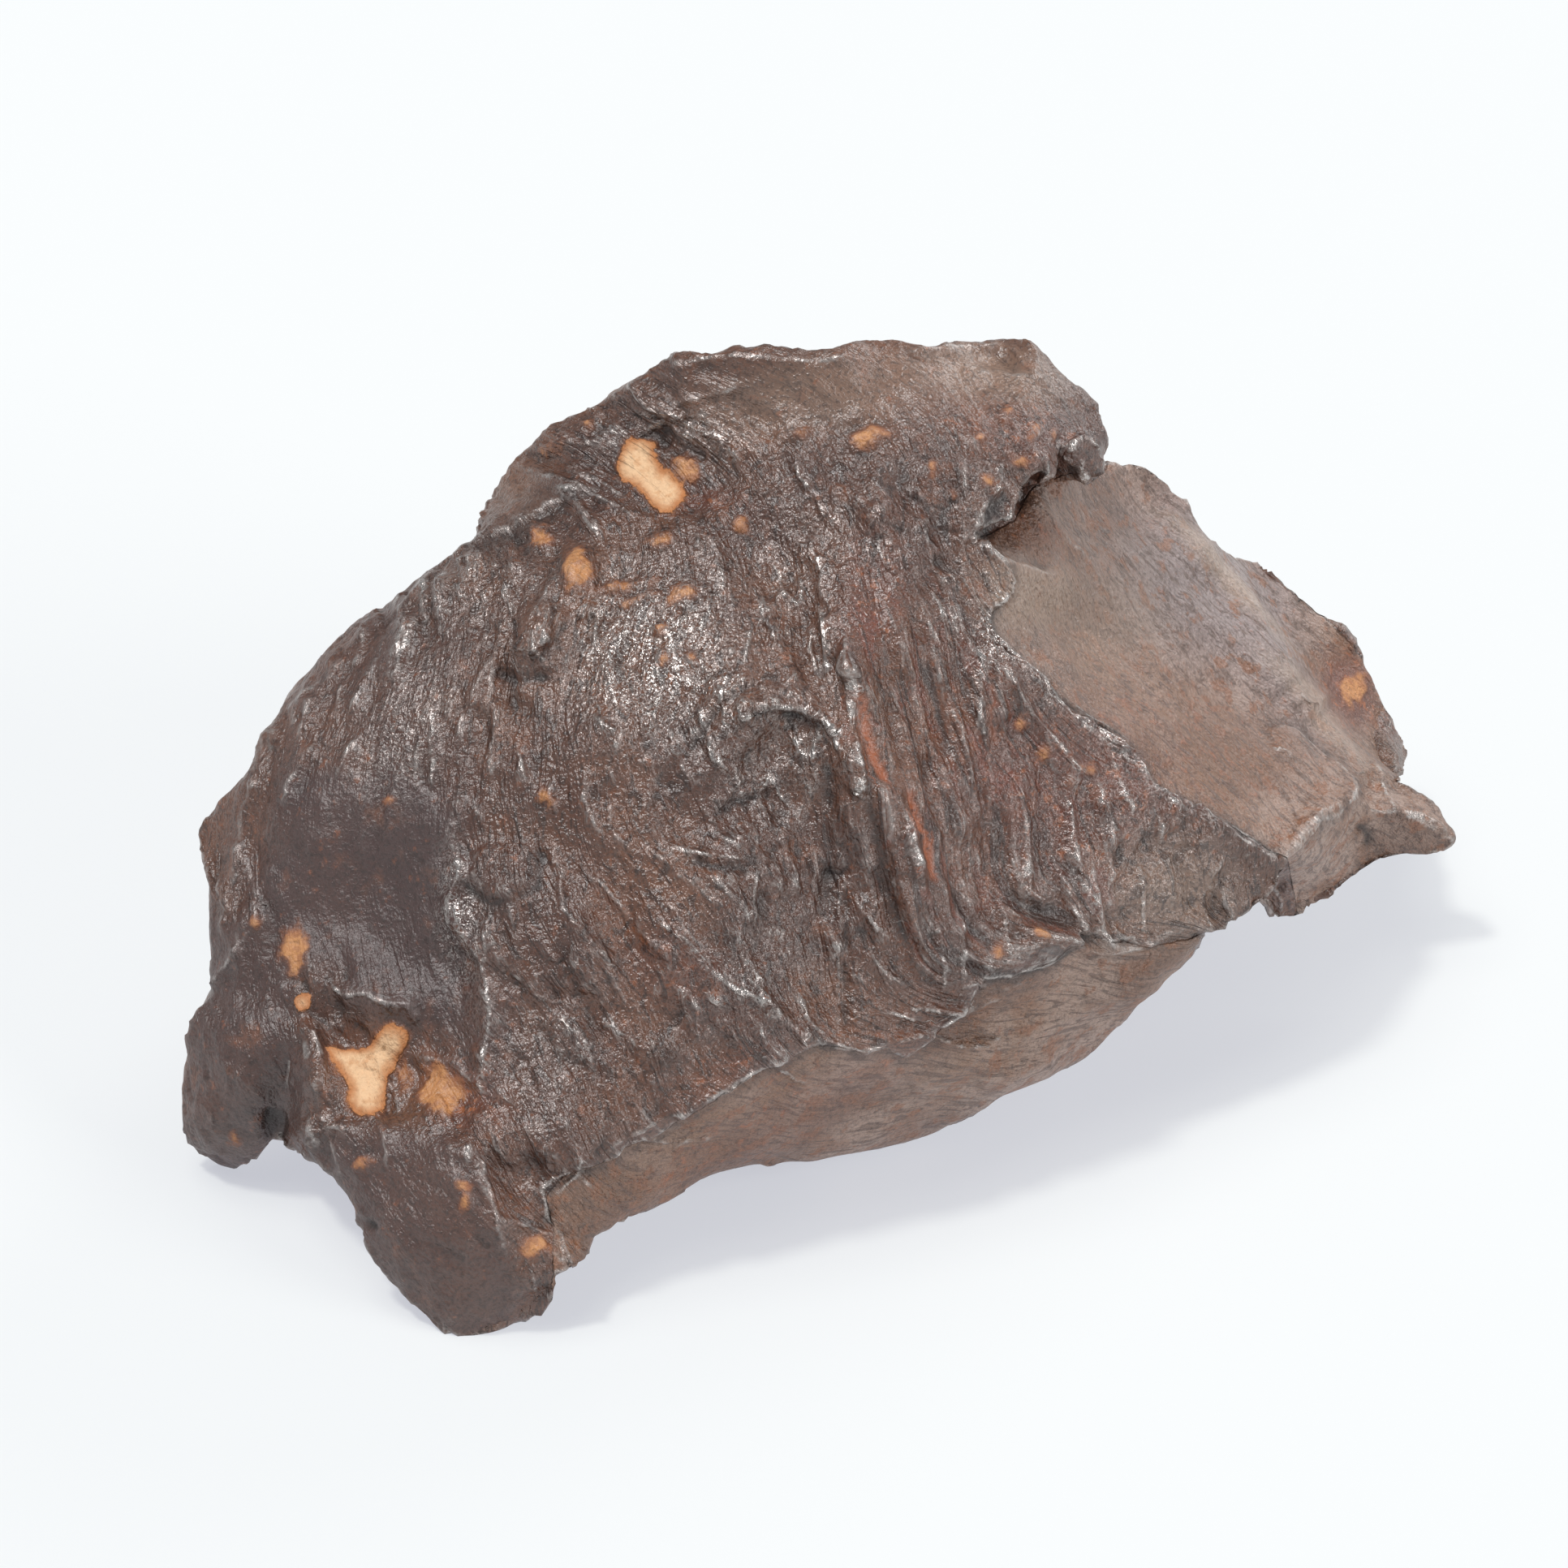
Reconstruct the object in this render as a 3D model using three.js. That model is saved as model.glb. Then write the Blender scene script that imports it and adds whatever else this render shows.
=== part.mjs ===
// An iron meteorite of the torn, shrapnel kind: one solid lump of iron, 79 mm long, that rests on two
// front feet and on the flat middle of its belly. A domed front face, scored by its flight, ends in sharp
// rims: above the hollowed right face, which runs out into a spur, and above the undercut belly.
//
// Millimetres, +X to the right, +Y away from the viewer, +Z up, standing on the table at Z 0.
//
// The places on the side that shows are measured on a full-size print of one view: how far right and how
// far down the print they lie, and how far they stand towards the viewer from the plane of the print.
// The places that don't show are given where they are, as X, Y and Z.
import * as THREE from "three";

const PRINT_SIDE = 96.6; // the print is square
const VIEW_ELEVATION = THREE.MathUtils.degToRad(35); // the view looks down by this much
const VIEW_DISTANCE = 500; // from the eye to the plane of the print
const PRINT_CENTRE_HEIGHT = 17; // of the middle of the print's plane above the table
const CONTACT_HEIGHT = 0.3; // what lies lower than this is pressed flat on the table
const SMOOTHING_ROUNDS = 2; // each cuts every face in four
const FIT_ROUNDS = 6;
const FIT_SHARE = 0.8; // of what is still missing, put right in each round

const VIEW_SIN = Math.sin(VIEW_ELEVATION);
const VIEW_COS = Math.cos(VIEW_ELEVATION);

// A place on the print, and how far it stands towards the viewer. What is nearer is drawn larger.
function seen(right, down, towards) {
  const nearness = 1 - towards / VIEW_DISTANCE;
  const across = (right - PRINT_SIDE / 2) * nearness;
  const up = (PRINT_SIDE / 2 - down) * nearness;
  const y = up * VIEW_SIN - towards * VIEW_COS;
  const z = PRINT_CENTRE_HEIGHT + up * VIEW_COS + towards * VIEW_SIN;
  return { right, down, at: new THREE.Vector3(across, y, z) };
}

// A place on the print that touches the table.
function onTable(right, down) {
  const up = PRINT_SIDE / 2 - down;
  const towards = -(PRINT_CENTRE_HEIGHT + up * VIEW_COS) / (VIEW_SIN - (up * VIEW_COS) / VIEW_DISTANCE);
  return seen(right, down, towards);
}

// A place that the view doesn't show, with where the print would have it.
function hidden(x, y, z) {
  const up = y * VIEW_SIN + (z - PRINT_CENTRE_HEIGHT) * VIEW_COS;
  const towards = (z - PRINT_CENTRE_HEIGHT) * VIEW_SIN - y * VIEW_COS;
  const nearness = 1 - towards / VIEW_DISTANCE;
  const right = PRINT_SIDE / 2 + x / nearness;
  const down = PRINT_SIDE / 2 - up / nearness;
  return { right, down, at: new THREE.Vector3(x, y, z) };
}

const places = (...rows) => rows.map((row) => seen(...row));

// Corners, where edges meet.
const leftToe = onTable(14.5, 71.9);
const frontToe = onTable(29.5, 82.15);
const frontToeRight = onTable(32, 81.4);
const archTop = seen(17.5, 70.35, 7);
const crestLeft = seen(28, 34.25, 3);
const lipEnd = seen(68.1, 28.25, 4);
const lipCorner = seen(60, 32.75, 13);
const rightCorner = seen(79.1, 52.8, 4.2);
const bellyCorner = seen(75, 57.35, 5.5);
const heelCorner = seen(35.1, 77.45, 18.3);
const soleCorner = seen(33.4, 80.9, 17.3);
const kneeTop = seen(29.25, 70.4, 20);
const rearTop = seen(59.5, 21, 2);
const hollowTop = seen(74.4, 33.5, -13);
const hollowEnd = seen(78.85, 42.5, -8.5);
const spurRoot = seen(86.2, 48.1, -11.2);
const spurTip = seen(89.6, 51.75, -10.5);
const rimEnd = seen(83.4, 48.65, -4.5);
const endLow = seen(79.9, 56, -10);
const endLowLeft = seen(78.5, 56.1, -9.5);
const stepTop = seen(28, 52.5, 15.8);
const stepFoot = seen(30.15, 67.4, 19);
const alcoveLeft = seen(18.6, 62.6, 13);
const alcoveBottom = seen(19.6, 69.5, 14.5);

// The outline of the side that shows, from the left toe over the top to the lip.
const leftOutline = places(
  [12.15, 71, 4.5], [11.25, 68.75, 5.5], [11.7, 64.5, 7], [13.1, 60.65, 6.5], [13.1, 54.25, 5.5],
  [12.5, 51.5, 4.5], [14, 48.9, 4], [16.25, 45, 3.5], [21, 39, 3], [25, 35.9, 3],
);
const crest = places(
  [29.6, 32.25, 1.5], [30.1, 30.6, 0], [32.5, 27.4, 1], [37, 24.6, 3.5], [40, 22.75, 5], [45, 21.9, 7],
  [50.5, 21.5, 8], [52.75, 20.95, 8], [55, 20.95, 7.3], [57.25, 21.6, 5.6],
);
const rearOutline = places([63, 21.1, 0.5], [65, 22.25, 1], [67.5, 24.85, 3], [68.3, 26.75, 4]);
const lipRim = places(
  [67.2, 29.3, 5.5], [66.65, 29.5, 6.3], [66.3, 27.7, 8], [65.4, 27.7, 8.6], [64.85, 29.2, 9.3],
  [64.3, 28.7, 9.8], [63, 29.9, 10.6], [62.3, 32, 11], [61.7, 30.2, 11.6], [60.8, 30.8, 12.5],
);
const nearRidge = places(
  [60.15, 33.65, 12.7], [61.75, 34.35, 12.3], [62, 35.75, 12.3], [61.1, 37.85, 13.3], [60.6, 39.5, 14],
  [62.5, 40.75, 13], [65, 42.4, 11.8], [67.5, 44.15, 10.2], [69.75, 45.75, 8.8], [71.35, 49.25, 8.2],
  [75, 50.25, 6.4], [77.25, 51.75, 5.2],
);
const endRim = places([78.5, 54.75, 4], [76.5, 56.5, 4.8]);
const bellyOutline = places(
  [73.5, 58.6, 4.2], [70, 62.25, 2.6], [67.5, 64.25, 2], [61.5, 67.75, 2.2], [57.5, 69.75, 3.5],
  [48, 71.85, 7.6], [42.5, 73.1, 10.5], [37, 76, 15.5],
);
const footRight = places([33.85, 78.6, 18.4], [33.9, 80.1, 17.8]);
const footLeft = places(
  [27.25, 81.7, 17], [23.4, 78.1, 16], [22.6, 75.7, 15.3], [21.4, 73.9, 13.8], [18.9, 71.15, 10],
);
const toeInner = places([16.4, 70.6, 6.5], [15, 71.25, 5]);

// Edges inside the front face.
const lowerRidge = places(
  [34.6, 76.1, 18.9], [33.6, 74.4, 20], [36, 72, 19.8], [38, 70.25, 19.5], [43.5, 67.9, 19],
  [46.5, 66.1, 18.5], [49.25, 64.5, 18], [52, 65, 17.3], [57.5, 63.5, 15.3], [59.6, 61.75, 14.3],
  [60.5, 60.15, 13.9], [65, 59.5, 11.8], [66.75, 57.25, 10.5], [71.5, 58.1, 7.5],
);
const pleat = places([62, 41.5, 13.8], [65, 45.25, 12], [66.4, 47.75, 11]);
const knee = places([28.9, 71.6, 20.6], [30.6, 75, 21], [31, 77, 20.5], [32.5, 79.5, 19.2]);
const ledge = places([21.5, 70.4, 16.3], [23.5, 69.9, 17.5], [26.5, 69.75, 18.8]);
const alcoveSide = places([19.6, 65.8, 14.9]);
const alcoveRoof = places([20, 60.75, 13.6], [22.5, 61.3, 14.6], [25, 62, 15.5]);
const step = places(
  [27.8, 55.5, 16.2], [29.1, 57.5, 17], [30.25, 60, 17.7], [30, 62.5, 18], [30.4, 65, 18.4],
);
const craterRim = places(
  [40.5, 26, 7], [42.5, 25.9, 8.2], [44.2, 27.5, 9.6], [45.2, 29.3, 10.6], [45.6, 31.5, 11.6],
);
const craterLip = places([32.5, 32, 6.8], [35.5, 30.75, 7.8], [37.5, 30.4, 8.8], [39.5, 30.4, 9.6]);
const topEdge = places([57.5, 22.8, 7.8], [63, 23.3, 6.3], [65, 23.9, 5.6], [66.5, 25.1, 5.2]);

// Ledges of the scored middle.
const ledgeRim = places([45.3, 43.8, 18.9], [47.8, 43.5, 18.4], [50.5, 44.3, 18.3]);
const longCrest = places([52.2, 39.2, 17], [52.6, 42.2, 17.8], [52.2, 45.4, 18.2], [53, 49, 18.8]);
const shortCrest = places([55.1, 48.6, 17.7], [56.2, 52, 17.7], [57.2, 56, 16.9]);
const slantCrest = places([40.6, 56.8, 20], [44.8, 60.4, 20], [47.4, 62.3, 19.4]);

const frontInside = places(
  // left foot and the hollow between the feet
  [14.5, 64.5, 11.5], [14, 69.5, 9.5], [15, 57.5, 10], [17.3, 61.5, 12], [17.8, 66, 12.4],
  // front foot
  [26, 76, 20], [27.3, 79.8, 18.8], [23.5, 73.5, 17.8], [32.2, 72.5, 19.4],
  // alcove in the front foot
  [21.3, 64, 13.2], [22.7, 66.7, 14], [25, 64.7, 14.7], [24, 68.6, 15.8], [26.5, 67, 16.4],
  [28.3, 68.2, 17.8],
  // left part of the dome, with the dark hollow beside the step
  [17, 50, 10], [21, 44, 10], [26, 39.5, 10.5], [30, 37, 11], [16.5, 54.8, 10.5], [21.5, 50.5, 13],
  [21, 56.5, 12.6], [25, 55, 14], [25.5, 59.5, 14.6], [28.2, 59.3, 15.6], [28.4, 63, 16.5],
  [28, 65.6, 17],
  // the scored middle
  [32.5, 36, 12], [30.6, 40, 13], [33.4, 39.4, 15], [27.5, 45, 14.2], [32, 48, 16.5], [32, 53, 17.5],
  [36, 41.5, 15.6], [37.8, 45.2, 18.2], [41.5, 44, 17.6], [38, 50, 18.5], [35, 57.5, 19.5],
  [34, 70, 20.5], [44, 49.5, 18.4], [38.5, 56.5, 19], [40, 62.5, 19.2],
  [49.5, 39, 15.2], [48.4, 45.6, 17.3], [49.5, 50.5, 17.2], [46.3, 53.2, 19.2], [50.8, 58, 17.4],
  [54.5, 45, 16.4], [56.5, 41.5, 15.5], [58.8, 48, 15], [59.2, 54, 14.6],
  [61.5, 47.5, 13.5], [64.5, 52.5, 11.8], [68.5, 53, 10.2], [72.5, 54, 7.8], [56, 35, 14.5],
  [54, 31, 13.2], [50, 33, 12.6], [46.5, 35, 12.5],
  // top and crater
  [37, 26.5, 5.2], [40, 28.75, 7.9], [34, 29, 4], [42.5, 30.5, 9.9], [37, 34, 11], [41.5, 35, 13],
  [47.5, 25, 9.8], [53, 24.5, 10], [61.5, 22.1, 3.2], [49, 29, 11.5], [59, 28, 12], [62.5, 27, 10.5],
  [66.8, 26.8, 6.8], [64.5, 25.8, 8.2],
  // belly
  [42.5, 70.5, 15.3], [50, 68, 13], [55, 67, 11.8], [61, 63.5, 9.7], [66.5, 61, 7.8],
  [38, 73, 17.5],
);

// The right face: a long hollow, with a niche under the lip, and the spur.
const underLip = places([61.75, 30.25, 6.5], [65, 28.1, 1], [67.6, 28.6, -5]);
const hollowRidge = places([70, 28.75, -8], [72, 30.4, -10.5], [73.35, 32.25, -12]);
const farRidge = places([75.5, 35.75, -12], [77.25, 38, -10.8], [78.1, 40, -9.5]);
const spurRidge = places([80.25, 43.65, -9.5], [82.5, 45.25, -10.5], [84.5, 47.15, -11]);
const spurOutline = places([87.75, 49.1, -11], [89.1, 50.75, -10.8]);
const spurUnder = places(
  [88.75, 52.3, -10.8], [87, 52.6, -11], [85, 53.1, -11], [83.25, 54.25, -10.8], [82, 55, -10.5],
);
const rim = places([81.1, 50.55, 0.8], [82.5, 50.3, -1.8]);
const rimSide = places([82.75, 47, -6.5], [80, 44.25, -8.3]);
const spurEdge = places([84.4, 49.85, -7], [85.75, 50, -8], [87.5, 50.6, -9.3]);
const endWall = places([78.2, 54, -3.5], [77.6, 55.4, -8]);
const nicheRidge = places([63.5, 30.6, 5.5], [65, 32.5, 4.5], [67.25, 34.85, 2.5]);
const softCrest = places([69.75, 34.5, -2], [72.5, 37.1, -4.8], [76.5, 40.1, -7.4]);
const rightInside = places(
  [62, 32.8, 8.5], [64.5, 35.25, 7.5], [64, 38, 7.5], [66, 40, 6], [68, 38, 1.8], [70, 41.5, 2],
  [72.5, 45, 2.6], [74, 48, 4], [77, 50, 2.8], [75, 44, -1.6], [78, 46.5, -2.5], [80, 49, -1.5],
  [71, 32, -8], [73.5, 34.5, -8.6], [76, 38, -8.6], [84.5, 51.75, -9.3], [82, 52.5, -4.8],
  [80.5, 53.75, -5.5], [84.5, 48.25, -9],
);

// The flange behind the hollow.
const flangeOutline = places(
  [76.5, 34.5, -17], [80, 36.75, -18.5], [82, 38.25, -19], [83.6, 40.2, -19.5], [85, 43, -20],
  [86.1, 45.25, -20.3], [86.4, 47.1, -20.5],
);
const flangeInside = places(
  [78, 38, -15], [80, 40, -16], [81, 42.5, -15], [83, 44, -16.6], [84.5, 46, -16.3],
);

// The back and the underside. Two sharp ridges part the back into scooped faces.
const backRidge = [
  hidden(6, 20.5, 33), hidden(8.5, 24.5, 27), hidden(13, 26.5, 21), hidden(17, 27, 13),
  hidden(23, 17, 5),
];
const leftBackRidge = [
  backRidge[2], hidden(3, 25.5, 18.5), hidden(-6, 22.5, 13), hidden(-15, 18.5, 12), hidden(-27, 5, 7),
];
const behindInside = [
  hidden(-24, 9, 18), hidden(-11, 15, 28), hidden(-5, 17.5, 22), hidden(17, 18.5, 28),
  hidden(25, 19.5, 18), hidden(-8, 15, 5), hidden(8, 19, 6), hidden(-20, -14, 5.5),
  hidden(-11, -3, 4), hidden(24, 2, 3.5),
  hidden(3, -9, 0), hidden(16, -1, 0), hidden(5, 9, 0),
];

// Twice the area of the triangle a b c on the print, positive if it runs clockwise as drawn.
function turn(a, b, c) {
  return (b.right - a.right) * (c.down - a.down) - (b.down - a.down) * (c.right - a.right);
}

function inCircle([a, b, c], p) {
  const rows = [a, b, c].map((q) => {
    const x = q.right - p.right;
    const y = q.down - p.down;
    return [x, y, x * x + y * y];
  });
  return new THREE.Matrix3().set(...rows[0], ...rows[1], ...rows[2]).determinant() > 0;
}

function insideOutline(outline, right, down) {
  let inside = false;
  outline.forEach((p, i) => {
    const q = outline[(i + 1) % outline.length];
    if (p.down > down === q.down > down) return;
    if (right < p.right + ((down - p.down) * (q.right - p.right)) / (q.down - p.down)) inside = !inside;
  });
  return inside;
}

const crosses = (a, b, p, q) =>
  ![p, q].includes(a) && ![p, q].includes(b) &&
  turn(a, b, p) > 0 !== turn(a, b, q) > 0 && turn(p, q, a) > 0 !== turn(p, q, b) > 0;

// The Delaunay triangles of the places on the print, within the outline. Every stated edge is among them.
function triangulate(outline, ridges, inside) {
  const all = [...new Set([...outline, ...ridges.flat(), ...inside])];
  const far = 1000;
  const frame = [seen(-far, -far, 0), seen(far * 3, -far, 0), seen(0, far * 3, 0)];
  let triangles = [frame];
  for (const p of all) {
    const bad = triangles.filter((t) => inCircle(t, p));
    const edges = bad.flatMap(([a, b, c]) => [[a, b], [b, c], [c, a]]);
    const border = edges.filter(([a, b]) => !edges.some(([c, d]) => c === b && d === a));
    triangles = triangles.filter((t) => !bad.includes(t)).concat(border.map(([a, b]) => [a, b, p]));
  }
  const closed = [...outline, outline[0]];
  for (const chain of [closed, ...ridges]) {
    for (let i = 1; i < chain.length; i++) forceEdge(triangles, chain[i - 1], chain[i]);
  }
  return triangles.filter(([a, b, c]) => {
    const right = (a.right + b.right + c.right) / 3;
    const down = (a.down + b.down + c.down) / 3;
    return ![a, b, c].some((p) => frame.includes(p)) && insideOutline(outline, right, down);
  });
}

// Turns the edges that cross a b, in the quads that they halve, until a b is itself an edge.
function forceEdge(triangles, a, b) {
  for (let tries = 0; tries < 400; tries++) {
    const crossing = [];
    triangles.forEach((t) => t.forEach((p, i) => {
      const q = t[(i + 1) % 3];
      if (crosses(a, b, p, q)) crossing.push([t, p, q]);
    }));
    if (!crossing.length) return;
    const flippable = crossing.filter(([t, p, q]) => {
      const other = triangles.find((o) => o !== t && o.includes(p) && o.includes(q));
      const r = t.find((v) => v !== p && v !== q);
      const s = other.find((v) => v !== p && v !== q);
      return crosses(r, s, p, q);
    });
    const [t, p, q] = flippable[tries % flippable.length];
    const other = triangles.find((o) => o !== t && o.includes(p) && o.includes(q));
    const r = t.find((v) => v !== p && v !== q);
    const s = other.find((v) => v !== p && v !== q);
    triangles.splice(triangles.indexOf(t), 1, [r, p, s]);
    triangles.splice(triangles.indexOf(other), 1, [s, q, r]);
  }
  throw new Error("an edge could not be laid");
}

// A band of triangles between two chains that share their first place, or not.
function band(left, right) {
  const triangles = [];
  let i = 0;
  let j = 0;
  while (i < left.length - 1 || j < right.length - 1) {
    const nextLeft = left[i + 1];
    const nextRight = right[j + 1];
    const leftStep = nextLeft ? nextLeft.at.distanceTo(right[j].at) : Infinity;
    const rightStep = nextRight ? nextRight.at.distanceTo(left[i].at) : Infinity;
    const useLeft = leftStep < rightStep;
    const third = useLeft ? nextLeft : nextRight;
    if (left[i] !== right[j]) triangles.push([left[i], third, right[j]]);
    if (useLeft) i += 1;
    else j += 1;
  }
  return triangles.filter((t) => new Set(t).size === 3);
}

const lip = [lipEnd, ...lipRim, lipCorner];
const wholeNearRidge = [lipCorner, ...nearRidge, rightCorner];
const wholeLowerRidge = [heelCorner, ...lowerRidge, bellyCorner];
const wholeKnee = [kneeTop, ...knee, soleCorner];
const wholeLedgeRim = [...ledgeRim, longCrest[2]];
const wholeSlantCrest = [...slantCrest, lowerRidge[7]];
const wholeFarRidge = [hollowTop, ...farRidge, hollowEnd, ...spurRidge, spurRoot];
const spurTop = [spurRoot, ...spurOutline, spurTip];
const wholeCrest = [crestLeft, ...crest, rearTop];
const topOutline = [leftToe, ...leftOutline, ...wholeCrest, ...rearOutline];
const bottomOutline = [
  ...endRim.slice(1), bellyCorner, ...bellyOutline, heelCorner, ...footRight, soleCorner,
  frontToeRight, frontToe, ...footLeft, archTop, ...toeInner,
];

const front = triangulate(
  [...topOutline, ...lip, ...nearRidge, rightCorner, endRim[0], ...bottomOutline],
  [
    wholeLowerRidge,
    [nearRidge[4], ...pleat],
    wholeKnee,
    [alcoveBottom, ...ledge, kneeTop],
    [alcoveLeft, ...alcoveSide, alcoveBottom],
    [alcoveLeft, ...alcoveRoof],
    [stepTop, ...step, stepFoot, kneeTop],
    craterRim,
    craterLip,
    [crest.at(-1), ...topEdge],
    wholeLedgeRim,
    longCrest,
    shortCrest,
    wholeSlantCrest,
  ],
  frontInside,
);
const rightFace = triangulate(
  [
    ...wholeNearRidge, ...endWall, endLowLeft, endLow, ...spurUnder.toReversed(), ...spurTop.toReversed(),
    ...wholeFarRidge.toReversed().slice(1), ...hollowRidge.toReversed(), ...underLip.toReversed(),
  ],
  [
    [rightCorner, ...rim, rimEnd, ...rimSide, hollowEnd],
    [rimEnd, ...spurEdge, spurTip],
    nicheRidge,
    [...softCrest, hollowEnd],
  ],
  rightInside,
);
const flange = triangulate([...wholeFarRidge, ...flangeOutline.toReversed()], [], flangeInside);
const lipUnderside = band(lip.toReversed(), [lipCorner, ...underLip]);
const endFace = band([rightCorner, ...endRim], [rightCorner, ...endWall]);
const behind = triangulate(
  [
    ...topOutline, lipEnd, underLip.at(-1), ...hollowRidge, hollowTop, ...flangeOutline, ...spurTop,
    ...spurUnder, endLow, endLowLeft, endWall.at(-1), ...bottomOutline,
  ],
  [[rearTop, ...backRidge], leftBackRidge],
  behindInside,
);

// Edges that stay sharp: they are not rounded by the smoothing.
const sharpEdges = [
  wholeNearRidge,
  lip,
  wholeLowerRidge,
  [rightCorner, ...endRim, bellyCorner],
  [rightCorner, ...rim, rimEnd],
  spurTop,
  [rimEnd, ...spurEdge, spurTip],
  [hollowEnd, ...spurRidge, spurRoot],
  wholeKnee,
  craterRim,
  flangeOutline,
  wholeLedgeRim,
  longCrest,
  shortCrest,
  wholeSlantCrest,
  [rearTop, ...backRidge],
  leftBackRidge,
];

const edgeKey = (a, b) => (a < b ? a + " " + b : b + " " + a);

// Turns the triangles so that neighbours run the same way round, and all of them face out.
function faceOut(points, faces) {
  const byEdge = new Map();
  faces.forEach((f, n) => f.forEach((a, i) => {
    const key = edgeKey(a, f[(i + 1) % 3]);
    byEdge.set(key, [...(byEdge.get(key) ?? []), n]);
  }));
  const open = [...byEdge].filter(([, list]) => list.length !== 2);
  if (open.length) throw new Error(open.length + " edges don't join two faces");
  const done = new Set([0]);
  const queue = [0];
  while (queue.length) {
    const n = queue.pop();
    faces[n].forEach((a, i) => {
      const b = faces[n][(i + 1) % 3];
      const m = byEdge.get(edgeKey(a, b)).find((o) => o !== n);
      if (done.has(m)) return;
      const same = faces[m].some((c, j) => c === a && faces[m][(j + 1) % 3] === b);
      if (same) faces[m].reverse();
      done.add(m);
      queue.push(m);
    });
  }
  const volumes = faces.map(([a, b, c]) => points[a].dot(points[b].clone().cross(points[c])));
  if (volumes.reduce((sum, v) => sum + v) < 0) faces.forEach((f) => f.reverse());
}

// One round of Loop's smoothing: every face is cut in four, and sharp edges stay sharp.
function smooth({ points, faces, sharp }) {
  const neighbours = points.map(() => new Set());
  const opposite = new Map();
  faces.forEach((f) => f.forEach((a, i) => {
    const b = f[(i + 1) % 3];
    const c = f[(i + 2) % 3];
    neighbours[a].add(b).add(c);
    const key = edgeKey(a, b);
    opposite.set(key, [...(opposite.get(key) ?? []), c]);
  }));
  const moved = points.map((p, n) => {
    const ends = [...neighbours[n]].filter((m) => sharp.has(edgeKey(n, m)));
    if (ends.length > 2) return p.clone();
    const ring = ends.length === 2 ? ends : [...neighbours[n]];
    const sum = ring.reduce((total, m) => total.add(points[m]), new THREE.Vector3());
    const wave = 3 / 8 + Math.cos((2 * Math.PI) / ring.length) / 4;
    const share = ends.length === 2 ? 1 / 4 : 5 / 8 - wave * wave;
    return p.clone().multiplyScalar(1 - share).addScaledVector(sum, share / ring.length);
  });
  const middle = new Map();
  const nextSharp = new Set();
  for (const [key, [c, d]] of opposite) {
    const [a, b] = key.split(" ").map(Number);
    const m = points[a].clone().add(points[b]);
    if (sharp.has(key)) m.multiplyScalar(1 / 2);
    else m.multiplyScalar(3 / 8).addScaledVector(points[c], 1 / 8).addScaledVector(points[d], 1 / 8);
    middle.set(key, moved.length);
    if (sharp.has(key)) nextSharp.add(edgeKey(a, moved.length)).add(edgeKey(b, moved.length));
    moved.push(m);
  }
  const cut = faces.flatMap(([a, b, c]) => {
    const [ab, bc, ca] = [edgeKey(a, b), edgeKey(b, c), edgeKey(c, a)].map((key) => middle.get(key));
    return [[a, ab, ca], [ab, b, bc], [ca, bc, c], [ab, bc, ca]];
  });
  return { points: moved, faces: cut, sharp: nextSharp };
}

// The smoothed skin, which passes through every stated place: the smoothing pulls places inwards, so
// they are first moved out by what it takes away.
function skin() {
  const triangles = [...front, ...rightFace, ...flange, ...lipUnderside, ...endFace, ...behind];
  const all = [...new Set(triangles.flat())];
  const index = new Map(all.map((p, i) => [p, i]));
  const targets = all.map((p) => p.at);
  const faces = triangles.map((t) => t.map((p) => index.get(p)));
  faceOut(targets, faces);
  const sharp = new Set();
  for (const chain of sharpEdges) {
    chain.slice(1).forEach((p, i) => sharp.add(edgeKey(index.get(chain[i]), index.get(p))));
  }
  const smoothed = (points) => {
    let mesh = { points, faces, sharp };
    for (let round = 0; round < SMOOTHING_ROUNDS; round++) mesh = smooth(mesh);
    return mesh;
  };
  const pulled = targets.map((p) => p.clone());
  for (let round = 0; round < FIT_ROUNDS; round++) {
    const { points } = smoothed(pulled);
    pulled.forEach((p, i) => p.addScaledVector(targets[i].clone().sub(points[i]), FIT_SHARE));
  }
  return smoothed(pulled);
}

function meteoriteGeometry() {
  const { points, faces } = skin();
  points.forEach((p) => {
    if (p.z < CONTACT_HEIGHT) p.z = 0;
  });
  const geometry = new THREE.BufferGeometry().setFromPoints(points);
  geometry.setIndex(faces.flat());
  geometry.computeVertexNormals();
  geometry.computeBoundingBox();
  return geometry;
}

const iron = new THREE.MeshStandardMaterial({ color: 0x4b3c38, roughness: 0.45, metalness: 0.7 });
const meteorite = new THREE.Mesh(meteoriteGeometry(), iron);
meteorite.name = "meteorite";
meteorite.geometry.boundingBox.getCenter(meteorite.position).setZ(0).negate();

const part = new THREE.Group();
part.add(meteorite);
export default part;
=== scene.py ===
import math

import bpy
import numpy as np
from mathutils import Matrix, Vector
from mathutils.bvhtree import BVHTree
from mathutils.kdtree import KDTree


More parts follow.
